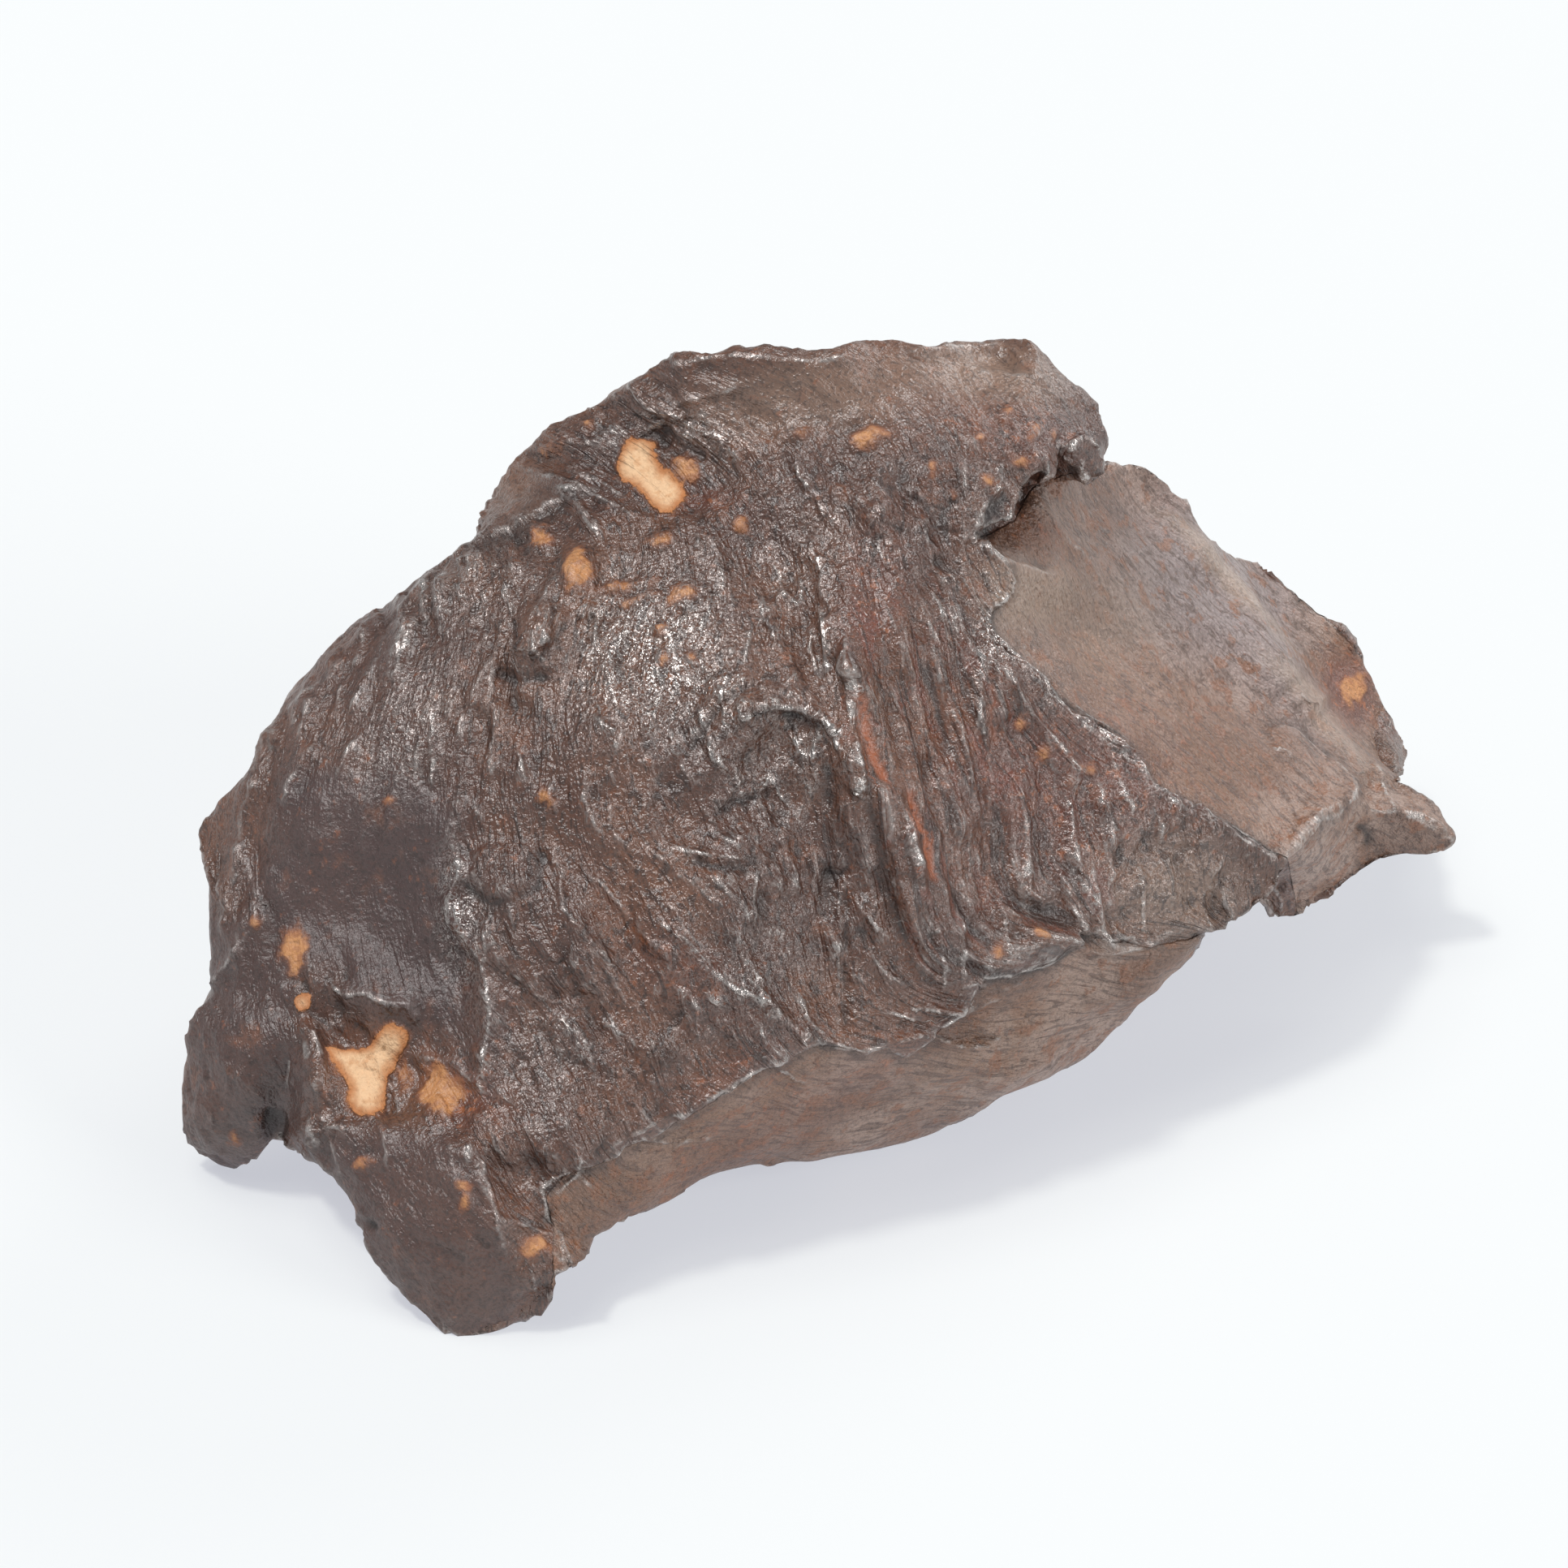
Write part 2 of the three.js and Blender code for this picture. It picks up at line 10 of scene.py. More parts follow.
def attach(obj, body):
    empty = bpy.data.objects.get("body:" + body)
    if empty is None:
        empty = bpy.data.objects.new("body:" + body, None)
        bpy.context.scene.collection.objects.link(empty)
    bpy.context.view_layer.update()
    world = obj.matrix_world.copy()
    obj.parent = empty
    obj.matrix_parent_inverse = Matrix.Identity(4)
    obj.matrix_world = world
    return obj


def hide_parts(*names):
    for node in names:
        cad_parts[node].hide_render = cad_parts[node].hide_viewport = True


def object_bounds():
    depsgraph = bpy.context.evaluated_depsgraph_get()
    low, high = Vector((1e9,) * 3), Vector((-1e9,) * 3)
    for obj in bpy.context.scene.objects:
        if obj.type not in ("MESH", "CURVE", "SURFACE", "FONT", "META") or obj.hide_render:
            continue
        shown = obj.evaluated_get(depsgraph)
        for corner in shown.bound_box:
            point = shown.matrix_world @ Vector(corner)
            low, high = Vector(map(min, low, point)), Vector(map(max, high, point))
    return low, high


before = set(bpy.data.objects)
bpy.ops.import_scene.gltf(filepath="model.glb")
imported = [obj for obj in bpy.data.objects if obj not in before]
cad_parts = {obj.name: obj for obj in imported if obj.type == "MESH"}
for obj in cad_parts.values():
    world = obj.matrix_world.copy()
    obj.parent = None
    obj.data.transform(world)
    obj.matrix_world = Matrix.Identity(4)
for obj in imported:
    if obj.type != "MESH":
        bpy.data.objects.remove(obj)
cad_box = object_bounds()

# The iron meteorite's skin, laid over its solid. Lengths are in millimetres until the mesh is made.
#
# The places on the side that shows are given on the same full-size print of one view as the solid's
# places are: how far right and how far down the square print they lie.
MM = 0.001
PRINT_SIDE = 96.6
VIEW_ELEVATION = math.radians(35)
VIEW_DISTANCE = 500  # from the eye to the plane of the print
VIEW_FOOT = np.array([-2.84, 2.80, 0])  # below the middle of the print, on the table
PRINT_CENTRE_HEIGHT = 17

VIEW_SIN, VIEW_COS = math.sin(VIEW_ELEVATION), math.cos(VIEW_ELEVATION)
PRINT_RIGHT = np.array([1, 0, 0])
PRINT_DOWN = np.array([0, -VIEW_SIN, -VIEW_COS])
TOWARDS_EYE = np.array([0, -VIEW_COS, VIEW_SIN])
PRINT_CENTRE = VIEW_FOOT + [0, 0, PRINT_CENTRE_HEIGHT]
EYE = PRINT_CENTRE + TOWARDS_EYE * VIEW_DISTANCE

SHARP_TURN = math.cos(math.radians(36))  # faces that turn by more than this meet in a sharp edge
SEEN_EDGE = 0.33  # about how long the edges of the skin's faces are on the side that shows
HIDDEN_EDGE = 0.78
CUT_ABOVE = 1.4  # edges this many times as long are cut in two
GRAZING, FACE_ON = 0.02, 0.22  # how far skin faces the eye where it starts to show and where it shows fully


# The mesh.

def faces_of(node):
    """The points and triangles of a node, each corner once."""
    mesh = node.data
    points = np.empty(len(mesh.vertices) * 3)
    mesh.vertices.foreach_get("co", points)
    corners = np.empty(len(mesh.polygons) * 3, int)
    mesh.polygons.foreach_get("vertices", corners)
    places, which = np.unique(np.round(points.reshape(-1, 3) / MM, 4), axis=0, return_inverse=True)
    return places, which.reshape(-1)[corners].reshape(-1, 3)


def edges_of(faces):
    """Every edge once, as its two ends, and the three edges of each face."""
    sides = np.sort(faces[:, [[0, 1], [1, 2], [2, 0]]], axis=2).reshape(-1, 2)
    most = faces.max() + 1
    keys, which = np.unique(sides[:, 0] * most + sides[:, 1], return_inverse=True)
    return np.stack([keys // most, keys % most], 1), which.reshape(-1, 3)


def face_normals(points, faces):
    a, b, c = (points[faces[:, i]] for i in range(3))
    return np.cross(b - a, c - a)


def unit(vectors):
    return vectors / np.maximum(np.linalg.norm(vectors, axis=1, keepdims=True), 1e-12)


def normals_of(points, faces):
    total = np.zeros_like(points)
    across = face_normals(points, faces)
    for i in range(3):
        np.add.at(total, faces[:, i], across)
    return unit(total)


def sharp_edges(points, faces):
    """Which edges turn sharply, in the order of edges_of."""
    edges, sides = edges_of(faces)
    normals = unit(face_normals(points, faces))
    total = np.zeros((len(edges), 3))
    for i in range(3):
        np.add.at(total, sides[:, i], normals)
    # Two unit normals that turn by an angle add up to twice the cosine of half of it.
    return np.linalg.norm(total, axis=1) < 2 * math.sqrt((1 + SHARP_TURN) / 2)


def neighbour_sums(count, edges, values):
    total = np.zeros((count,) + values.shape[1:])
    np.add.at(total, edges[:, 0], values[edges[:, 1]])
    np.add.at(total, edges[:, 1], values[edges[:, 0]])
    return total


def cut(points, faces, chosen, middles):
    """Cuts the chosen edges at their middles, and each face by how many of its edges are cut."""
    edges, sides = edges_of(faces)
    number = np.full(len(edges), -1)
    number[chosen] = len(points) + np.arange(chosen.sum())
    mid = number[sides]
    cuts = (mid >= 0).sum(1)
    made = [faces[cuts == 0]]
    a, b, c = faces[cuts == 3].T
    ab, bc, ca = mid[cuts == 3].T
    made += [np.stack(t, 1) for t in ((a, ab, ca), (ab, b, bc), (ca, bc, c), (ab, bc, ca))]
    for turn in range(3):
        f, m = np.roll(faces, -turn, axis=1), np.roll(mid, -turn, axis=1)
        one = (cuts == 1) & (m[:, 0] >= 0)
        a, b, c = f[one].T
        ab = m[one][:, 0]
        made += [np.stack(t, 1) for t in ((a, ab, c), (ab, b, c))]
        two = (cuts == 2) & (m[:, 2] < 0)
        a, b, c = f[two].T
        ab, bc, _ = m[two].T
        made += [np.stack(t, 1) for t in ((ab, b, bc), (a, ab, bc), (a, bc, c))]
    return np.concatenate([points, middles[chosen]]), np.concatenate(made)


def halved(points, faces, sharp):
    """One round of Loop's smoothing: every face is cut in four, and sharp edges stay sharp."""
    edges, sides = edges_of(faces)
    count = len(points)
    opposite = np.zeros((len(edges), 3))
    for i in range(3):
        np.add.at(opposite, sides[:, i], points[faces[:, (i + 2) % 3]])
    ends = points[edges[:, 0]] + points[edges[:, 1]]
    middles = np.where(sharp[:, None], ends / 2, ends * 3 / 8 + opposite / 8)
    ring = neighbour_sums(count, edges, np.ones((count, 1)))
    along = neighbour_sums(count, edges[sharp], np.ones((count, 1)))
    share = 5 / 8 - (3 / 8 + np.cos(2 * math.pi / ring) / 4) ** 2
    soft = points * (1 - share) + neighbour_sums(count, edges, points) * share / ring
    crease = points * 3 / 4 + neighbour_sums(count, edges[sharp], points) / 8
    moved = np.where(along == 2, crease, np.where(along > 2, points, soft))
    return cut(moved, faces, np.ones(len(edges), bool), middles)


def relaxed(points, faces, sharp, rounds):
    """Moves each point towards the middle of its neighbours. Sharp edges only slide along themselves."""
    edges, _ = edges_of(faces)
    count = len(points)
    ones = np.ones((count, 1))
    ring, along = neighbour_sums(count, edges, ones), neighbour_sums(count, edges[sharp], ones)
    for _ in range(rounds):
        soft = neighbour_sums(count, edges, points) / ring
        crease = neighbour_sums(count, edges[sharp], points) / np.maximum(along, 1)
        goal = np.where(along == 0, soft, np.where(along == 2, crease, points))
        points = points + (goal - points) / 2
    return points


def spread(values, faces, rounds):
    """Evens a value out over the skin."""
    edges, _ = edges_of(faces)
    ring = neighbour_sums(len(values), edges, np.ones(len(values)))
    for _ in range(rounds):
        values = (values + neighbour_sums(len(values), edges, values) / ring) / 2
    return values


# Where a point lies on the print, and whether the view shows it.

def on_print(points):
    x, y, z = (points - PRINT_CENTRE).T
    up = y * VIEW_SIN + z * VIEW_COS
    nearness = 1 - (z * VIEW_SIN - y * VIEW_COS) / VIEW_DISTANCE
    return PRINT_SIDE / 2 + x / nearness, PRINT_SIDE / 2 - up / nearness


def shown(points, faces, normals):
    """1 where the view shows the skin face on, 0 where it is hidden or turned away."""
    tree = BVHTree.FromPolygons(points.tolist(), faces.tolist())
    eye = Vector(EYE)
    facing = (normals * unit(EYE - points)).sum(1)
    clear = np.zeros(len(points))
    lifted = points + normals * 0.4
    for i in np.flatnonzero(facing > GRAZING):
        start = Vector(lifted[i])
        clear[i] = tree.ray_cast(start, eye - start)[0] is None
    return clear * np.clip((facing - GRAZING) / (FACE_ON - GRAZING), 0, 1)


points, faces = faces_of(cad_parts["meteorite"])
points, faces = halved(points, faces, sharp_edges(points, faces))
for _ in range(3):
    seen = spread(shown(points, faces, normals_of(points, faces)), faces, 2)
    edges, _ = edges_of(faces)
    ends = points[edges[:, 0]], points[edges[:, 1]]
    near = np.maximum(seen[edges[:, 0]], seen[edges[:, 1]]) > 0.05
    long = np.linalg.norm(ends[0] - ends[1], axis=1) > np.where(near, SEEN_EDGE, HIDDEN_EDGE) * CUT_ABOVE
    points, faces = cut(points, faces, long, (ends[0] + ends[1]) / 2)
sharp = sharp_edges(points, faces)
points = relaxed(points, faces, sharp, 6)
normals = normals_of(points, faces)
seen = spread(shown(points, faces, normals), faces, 4)


# Noise, and the ways it is laid over the skin.

def noise(places, size, seed):
    """Smooth noise, mostly between -1 and 1, whose lumps are about one size across."""
    chance = np.random.default_rng(seed)
    slopes = unit(chance.normal(size=(256, 3)))
    order = chance.permutation(256)
    p = places / size + chance.random(3) * 100
    cell = np.floor(p).astype(int)
    part = p - cell
    ease = part**3 * (part * (part * 6 - 15) + 10)
    total = np.zeros(len(p))
    for corner in np.ndindex(2, 2, 2):
        x, y, z = ((cell + corner) & 255).T
        slope = slopes[order[(order[(order[x] + y) & 255] + z) & 255]]
        share = np.where(corner, ease, 1 - ease).prod(1)
        total += share * (slope * (part - corner)).sum(1)
    return total * 1.7


def step_up(value, low, high):
    t = np.clip((value - low) / (high - low), 0, 1)
    return t * t * (3 - 2 * t)


# The flow of the scoring: where on the print, and its direction there, right and down.
FLOW_ACROSS_THE_PRINT = [
    [(22, 44), (-0.5, 0.87)], [(22, 48), (-0.45, 0.9)], [(28, 44), (-0.3, 0.95)], [(26, 48), (-0.2, 0.98)],
    [(16, 52), (-0.2, 0.98)], [(14, 62), (-0.3, 0.95)], [(24, 56), (0.15, 1)], [(18, 66), (0.2, 1)],
    [(30, 38), (-0.35, 0.93)], [(33, 46), (0.1, 1)], [(32, 52), (0.4, 0.9)], [(34, 62), (0.65, 0.75)],
    [(36, 68), (0.35, 0.93)], [(38, 38), (-0.3, 0.95)], [(42, 43), (0.35, 0.93)], [(46, 48), (0.6, 0.8)],
    [(42, 54), (0.75, 0.66)], [(42, 60), (0.65, 0.76)], [(48, 58), (0.35, 0.93)], [(50, 38), (0.25, 0.97)],
    [(50, 48), (0.05, 1)], [(54, 44), (0.2, 0.98)], [(58, 52), (0.12, 0.99)], [(64, 50), (0.06, 1)],
    [(62, 42), (0.12, 0.99)], [(70, 54), (-0.05, 1)], [(74, 54), (-0.3, 0.95)], [(36, 29), (0.9, 0.3)],
    [(46, 24), (0.95, -0.3)], [(54, 23), (0.95, 0.1)], [(60, 26), (0.8, 0.6)], [(58, 31), (0.3, 0.95)],
    [(50, 30), (0.5, 0.86)], [(44, 32), (0.2, 1)], [(66, 25), (0.5, 0.87)], [(24, 72), (0.3, 0.95)],
    [(28, 78), (0.45, 0.9)], [(32, 76), (0.3, 0.95)], [(70, 36), (0.75, 0.66)], [(70, 42), (0.83, 0.55)],
    [(76, 46), (0.8, 0.6)], [(78, 40), (0.7, 0.7)], [(84, 42), (0.6, 0.8)], [(85, 50), (0.9, 0.4)],
    [(42, 72), (0.95, -0.3)], [(54, 68), (0.95, -0.3)], [(64, 62), (0.85, -0.5)], [(72, 59), (0.8, -0.6)],
]
FLOW_SOFTNESS, FLOW_FALLOFF = 4, 1.6  # how softly each direction gives way to the next
right, down = on_print(points)


def flow_over(points, normals, right, down, seen):
    total = np.zeros((len(points), 2))
    for (x, y), way in FLOW_ACROSS_THE_PRINT:
        apart = (right - x) ** 2 + (down - y) ** 2 + FLOW_SOFTNESS
        total += np.array(way) / apart[:, None] ** FLOW_FALLOFF
    ways = total[:, :1] * PRINT_RIGHT + total[:, 1:] * PRINT_DOWN
    facing = np.maximum((normals * TOWARDS_EYE).sum(1), 0.25)
    on_face = unit(ways - TOWARDS_EYE * ((normals * ways).sum(1) / facing)[:, None])
    swirl = np.stack([noise(points, 22, seed) for seed in (11, 12, 13)], 1) * 0.9 + [0.25, 0.1, -1]
    behind = unit(swirl - normals * (normals * swirl).sum(1, keepdims=True))
    return unit(on_face * seen[:, None] + behind * (1 - seen)[:, None])


flow = flow_over(points, normals, right, down, seen)
LAYOUT_ROUNDS = 450


def laid_out(ways, start, weight):
    """A place for each point, whose steps from point to point come nearest to the steps along the ways."""
    edges, _ = edges_of(faces)
    first, last = edges.T
    count = len(points)
    held = (weight[first] + weight[last]) / 2
    steps = ((points[last] - points[first]) * (ways[first] + ways[last])).sum(1) / 2 * held

    def summed(values):
        return np.bincount(last, values, count) - np.bincount(first, values, count)

    def out_of_step(place):
        return summed((place[last] - place[first]) * held)

    place = start.copy()
    left = summed(steps) - out_of_step(place)
    search, size = left.copy(), left @ left
    for _ in range(LAYOUT_ROUNDS):
        change = out_of_step(search)
        share = size / (search @ change)
        place += share * search
        left -= share * change
        size, before = left @ left, size
        search = left + search * (size / before)
    return place


facing_eye = (normals * TOWARDS_EYE).sum(1)
turned = np.clip(facing_eye[:, None] * 3, -1, 1)
layout_weight = 0.1 + 0.9 * seen
flow_along = laid_out(flow, down, layout_weight)
flow_across = laid_out(np.cross(normals, flow) * turned, right, layout_weight)


def flowing(size, length, seed, warp):
    """Noise drawn out along the flow, this size across it, whose lines wander by the warp."""
    across = flow_across + noise(points, size * 3, seed + 500) * warp
    return noise(np.stack([across / size, flow_along / length, points[:, 2] * 0.01], 1), 1, seed)


# Regions, as outlines on the print.

def inward(outline):
    """How far inside an outline on the print a point is, and below zero how far outside."""
    corners = np.array(outline, float)
    odd = np.zeros(len(right), bool)
    nearest = np.full(len(right), np.inf)
    for (x0, y0), (x1, y1) in zip(corners, np.roll(corners, -1, axis=0)):
        with np.errstate(divide="ignore", invalid="ignore"):
            odd ^= ((y0 > down) != (y1 > down)) & (right < x0 + (down - y0) * (x1 - x0) / (y1 - y0))
        run = (x1 - x0) ** 2 + (y1 - y0) ** 2
        t = np.clip(((right - x0) * (x1 - x0) + (down - y0) * (y1 - y0)) / run, 0, 1)
        nearest = np.minimum(nearest, np.hypot(right - x0 - t * (x1 - x0), down - y0 - t * (y1 - y0)))
    return np.where(odd, nearest, -nearest)


def within(outline, soft, waver=0.0, size=1.5, seed=0):
    """1 inside an outline on the print, 0 outside, with an edge this soft that wavers."""
    far = inward(outline)
    if waver:
        far = far + noise(points, size, seed) * waver
    return step_up(far, -soft / 2, soft / 2) * seen


SMOOTH_RIGHT_FACE = [
    (60, 33.2), (60.5, 33.6), (61.6, 34.4), (62, 35.4), (61.6, 37), (60.9, 38.2), (61.1, 39.2), (62.6, 40.6),
    (64.6, 42), (66, 43.9), (67.3, 44.3), (69, 45.5), (69.9, 46.5), (70.6, 48.2), (71.6, 49), (73.8, 49.6),
    (76, 51), (78, 52.2), (79.3, 53), (80, 57), (90, 54), (91, 50), (80, 36), (74, 29), (68.6, 28.1),
    (67.8, 29.2), (66.8, 29.9), (66.2, 29.1), (65.3, 29.4), (64.4, 29.6), (63.4, 30.3), (62.9, 31.2),
    (62.4, 32.2), (61.4, 32.6),
]
SMOOTH_BELLY = [
    (34, 75.5), (33.6, 73.6), (34.6, 72.5), (36.2, 71.9), (38.4, 70.7), (40.6, 69.8), (44, 67.7), (47, 65.8),
    (50, 64.4), (51.8, 64.5), (53.2, 65), (54.6, 64.6), (55.7, 65.2), (57.2, 64.4), (59.2, 62.5),
    (60.4, 60.2), (62.2, 60.2), (65, 59.2), (66.4, 57.4), (68, 57.7), (70.8, 58.2), (74, 57.8), (82, 57),
    (60, 72), (34, 82),
]
PURPLE_HOLLOW = [
    (19, 49), (24, 47.5), (28, 50), (28.3, 54), (29, 57.6), (30, 60), (30.2, 63), (30, 66), (27, 64.5),
    (24, 62), (20.5, 61), (17, 58), (16.5, 53),
]
LEFT_FOOT = [(10, 56), (16, 57), (18.2, 60), (18, 63), (19.3, 66), (19, 69), (17.5, 71), (15.5, 74), (10, 74)]
FRONT_FOOT = [
    (19, 69.8), (21.5, 70.2), (24, 69.8), (27.5, 69.8), (29.2, 71.3), (30.2, 74), (31, 76.5), (32, 79),
    (32, 83), (22, 83), (18, 72),
]
ALCOVE = [
    (18.4, 62), (20.5, 60.8), (24, 61.4), (27, 63.6), (30, 67), (29, 69.5), (24, 69.4), (20, 69), (19, 66),
]
TOP_DOME = [
    (41, 22), (46, 20), (66, 19), (69, 25), (66, 25), (62, 24.6), (59, 25.5), (56, 26.5), (50, 27.2),
    (45, 27), (42, 25.4),
]
TOP_LEFT_FACET = [
    (29, 32.5), (30.6, 29), (32.3, 28.2), (33.5, 29.6), (34.5, 30.6), (31.5, 32.8), (29.5, 33.6),
]
STRIATED = [
    (52.5, 36.5), (60, 36), (62.5, 42.5), (66, 45), (69, 49), (68.5, 56), (64, 58.5), (60, 60), (56, 60),
    (53, 52), (51.5, 44),
]

smooth_right = within(SMOOTH_RIGHT_FACE, 0.5)
smooth_belly = within(SMOOTH_BELLY, 0.5)
purple = within(PURPLE_HOLLOW, 5, 1.2, 3, 21)
left_foot = within(LEFT_FOOT, 2, 0.5, 2, 22)
front_foot = within(FRONT_FOOT, 2, 0.4, 2, 23)
alcove = within(ALCOVE, 1.2, 0.4, 1.5, 24)
dome = within(TOP_DOME, 3, 0.6, 2, 25)
top_left = within(TOP_LEFT_FACET, 1.2)
striated = within(STRIATED, 3, 0.5, 2, 26)

# Behind, the smooth and the torn skin pass softly into each other.
back_patches = noise(points, 12, 33) * 0.14 + noise(points, 4, 34) * 0.06 - 0.03
back_scoop = step_up(back_patches, -0.07, 0.07) * (1 - seen)
plain = np.clip(smooth_right + smooth_belly + back_scoop, 0, 1)
plain_inward = np.maximum(inward(SMOOTH_RIGHT_FACE), inward(SMOOTH_BELLY))
plain_inward = np.where(seen > 0.3, np.clip(plain_inward, -1.5, 1.5), np.clip(back_patches, -0.07, 0.07))
flank = np.exp(-((((right - 21) / 8) ** 2 + ((down - 46) / 12) ** 2) ** 2)) * seen
calm = purple * 0.5 + left_foot * 0.6 + front_foot * 0.6 + alcove * 0.3 + dome * 0.7 + top_left * 0.8
calm = np.clip(calm + flank * 0.4, 0, 1)
rough = (1 - plain) * (1 - calm)
mauve = np.clip(np.maximum(purple, np.maximum(left_foot, front_foot) * 0.7) + flank * 0.4, 0, 1)


# Single marks, as chains of places on the print.

LINE_SETS = 3  # lines that pass close to each other are kept in different sets
LINE_REACH = 1.2  # how far from a line its distance is still kept
LEDGE_HALF_WIDTH = 0.18


class Relief:
    """What is raised on the skin, what colours it, and the shade painted on it."""

    def __init__(self):
        self.height = np.zeros(len(points))
        self.painted_shade = np.zeros(len(points))
        self.cream = np.full(len(points), -1.0)
        self.orange = np.full(len(points), -1.0)
        self.off_line = [np.full(len(points), LINE_REACH) for _ in range(LINE_SETS)]
        self.line_shine = [np.zeros(len(points)) for _ in range(LINE_SETS)]
        self.line_rust = [np.zeros(len(points)) for _ in range(LINE_SETS)]


relief = Relief()


def thin_line(near, left, strength, shine, rust):
    """Keeps how far each point is from a line, for the finish to draw it finer than the faces are."""
    close = near[np.abs(left) < LINE_REACH]
    taken = [np.abs(off[close]).min(initial=LINE_REACH) for off in relief.off_line]
    which = int(np.argmax(taken))
    off, bright, red = relief.off_line[which], relief.line_shine[which], relief.line_rust[which]
    own = np.abs(left) < np.abs(off[near])
    fade = strength * step_up(LINE_REACH - np.abs(left), 0, 0.4)
    off[near[own]] = left[own]
    bright[near[own]] = (fade * shine)[own]
    red[near[own]] = (fade * rust)[own]


def along(chain, reach):
    """The points near a chain: which, how far to its left, and how far along it from 0 to 1."""
    chain = np.array(chain, float)
    low, high = chain.min(0) - reach, chain.max(0) + reach
    near = np.flatnonzero(
        (right > low[0]) & (right < high[0]) & (down > low[1]) & (down < high[1]) & (seen > 0.02)
    )
    x, y = right[near], down[near]
    best = np.full(len(near), np.inf)
    left = np.zeros(len(near))
    share = np.zeros(len(near))
    lengths = np.hypot(*np.diff(chain, axis=0).T)
    before = 0
    for (x0, y0), (x1, y1), length in zip(chain, chain[1:], lengths):
        way = np.array([x1 - x0, y1 - y0]) / length
        t = np.clip((x - x0) * way[0] + (y - y0) * way[1], 0, length)
        away_x, away_y = x - x0 - t * way[0], y - y0 - t * way[1]
        away = np.hypot(away_x, away_y)
        closer = away < best
        best = np.where(closer, away, best)
        left = np.where(closer, np.where(away_x * way[1] - away_y * way[0] > 0, away, -away), left)
        share = np.where(closer, (before + t) / lengths.sum(), share)
        before += length
    return near, left, share, lengths.sum()


def tapered(share, length, end=0.7):
    return step_up(np.minimum(share, 1 - share) * length, -0.15, end)


def crest(chain, height=0.3, width=0.35, bare=0.8, lean=1.0):
    """A raised line. Lean is how much gentler its left side is than its right."""
    near, left, share, length = along(chain, max(width * 4 * max(lean, 1), LINE_REACH))
    away = np.where(left > 0, left / lean, left) / width
    ends = tapered(share, length) * seen[near]
    relief.height[near] += height * np.exp(-np.abs(away) ** 1.5) * ends
    thin_line(near, left, ends, bare, 0)


def groove(chain, depth=0.3, width=0.35, rust=0.0, painted_shade=0.4):
    near, left, share, length = along(chain, max(width * 4, LINE_REACH))
    ends = tapered(share, length) * seen[near]
    form = np.exp(-((left / width) ** 2)) * ends
    relief.height[near] -= depth * form
    # Shade is painted into the groove.
    relief.painted_shade[near] = np.maximum(relief.painted_shade[near], painted_shade * form)
    if rust:
        thin_line(near, left, ends, 0, rust)


def ledge(chain, height=0.5, fade=2.0, bare=0.7, painted_shade=0.5):
    """A step: the skin to the left of the chain stands up over the skin to its right, with shade painted just
    below it.
    """
    near, left, share, length = along(chain, max(fade * 3, LINE_REACH))
    ends = tapered(share, length, 1.2) * seen[near]
    up = step_up(left, -LEDGE_HALF_WIDTH, LEDGE_HALF_WIDTH)
    rise = up * np.exp(-np.maximum(left, 0) / fade) - (1 - up) * 0.5 * np.exp(np.minimum(left, 0) / fade)
    relief.height[near] += height * rise * ends
    # Shade painted just below the step.
    shade_under_step = np.exp(-(((left + 0.3) / 0.3) ** 2)) * ends
    relief.painted_shade[near] = np.maximum(relief.painted_shade[near], painted_shade * shade_under_step)
    thin_line(near, left - LEDGE_HALF_WIDTH * 0.6, ends, bare, 0)


def spot(at, across, high, turn=0.0):
    """How far inside an oval on the print a point is: 1 at its middle and 0 at its edge."""
    near = np.flatnonzero((np.hypot(right - at[0], down - at[1]) < 2.2 * max(across, high)) & (seen > 0.02))
    x, y = right[near] - at[0], down[near] - at[1]
    c, s = math.cos(math.radians(turn)), math.sin(math.radians(turn))
    far = np.hypot((x * c + y * s) / across, (y * c - x * s) / high)
    return near, 1 - far - noise(points[near], 0.9, 41) * 0.2


def lump(at, across, high, height, turn=0.0, orange=False, cream=False, painted_shade=0.0):
    """A rounded bump or, below zero height, a pit: half its size along and across, turned in degrees, with
    shade painted into it as strongly as asked.
    """
    near, inside = spot(at, across, high, turn)
    relief.height[near] += height * step_up(inside, -0.5, 0.5) * seen[near]
    # Shade painted into the bump or pit.
    relief.painted_shade[near] = np.maximum(relief.painted_shade[near], painted_shade * step_up(inside, -0.3, 0.5) * seen[near])
    for wanted, field in ((cream, relief.cream), (orange, relief.orange)):
        if wanted:
            field[near] = np.maximum(field[near], inside * min(across, high))


def shading(*spots):
    """Soft patches on the print: each has a middle, half its size across and down, a turn and a strength."""
    total = np.zeros(len(points))
    for x, y, across, high, turn, strength in spots:
        c, s = math.cos(math.radians(turn)), math.sin(math.radians(turn))
        u, v = (right - x) * c + (down - y) * s, (down - y) * c - (right - x) * s
        total += strength * np.exp(-(((u / across) ** 2 + (v / high) ** 2) ** 1.5)) * seen
    return total


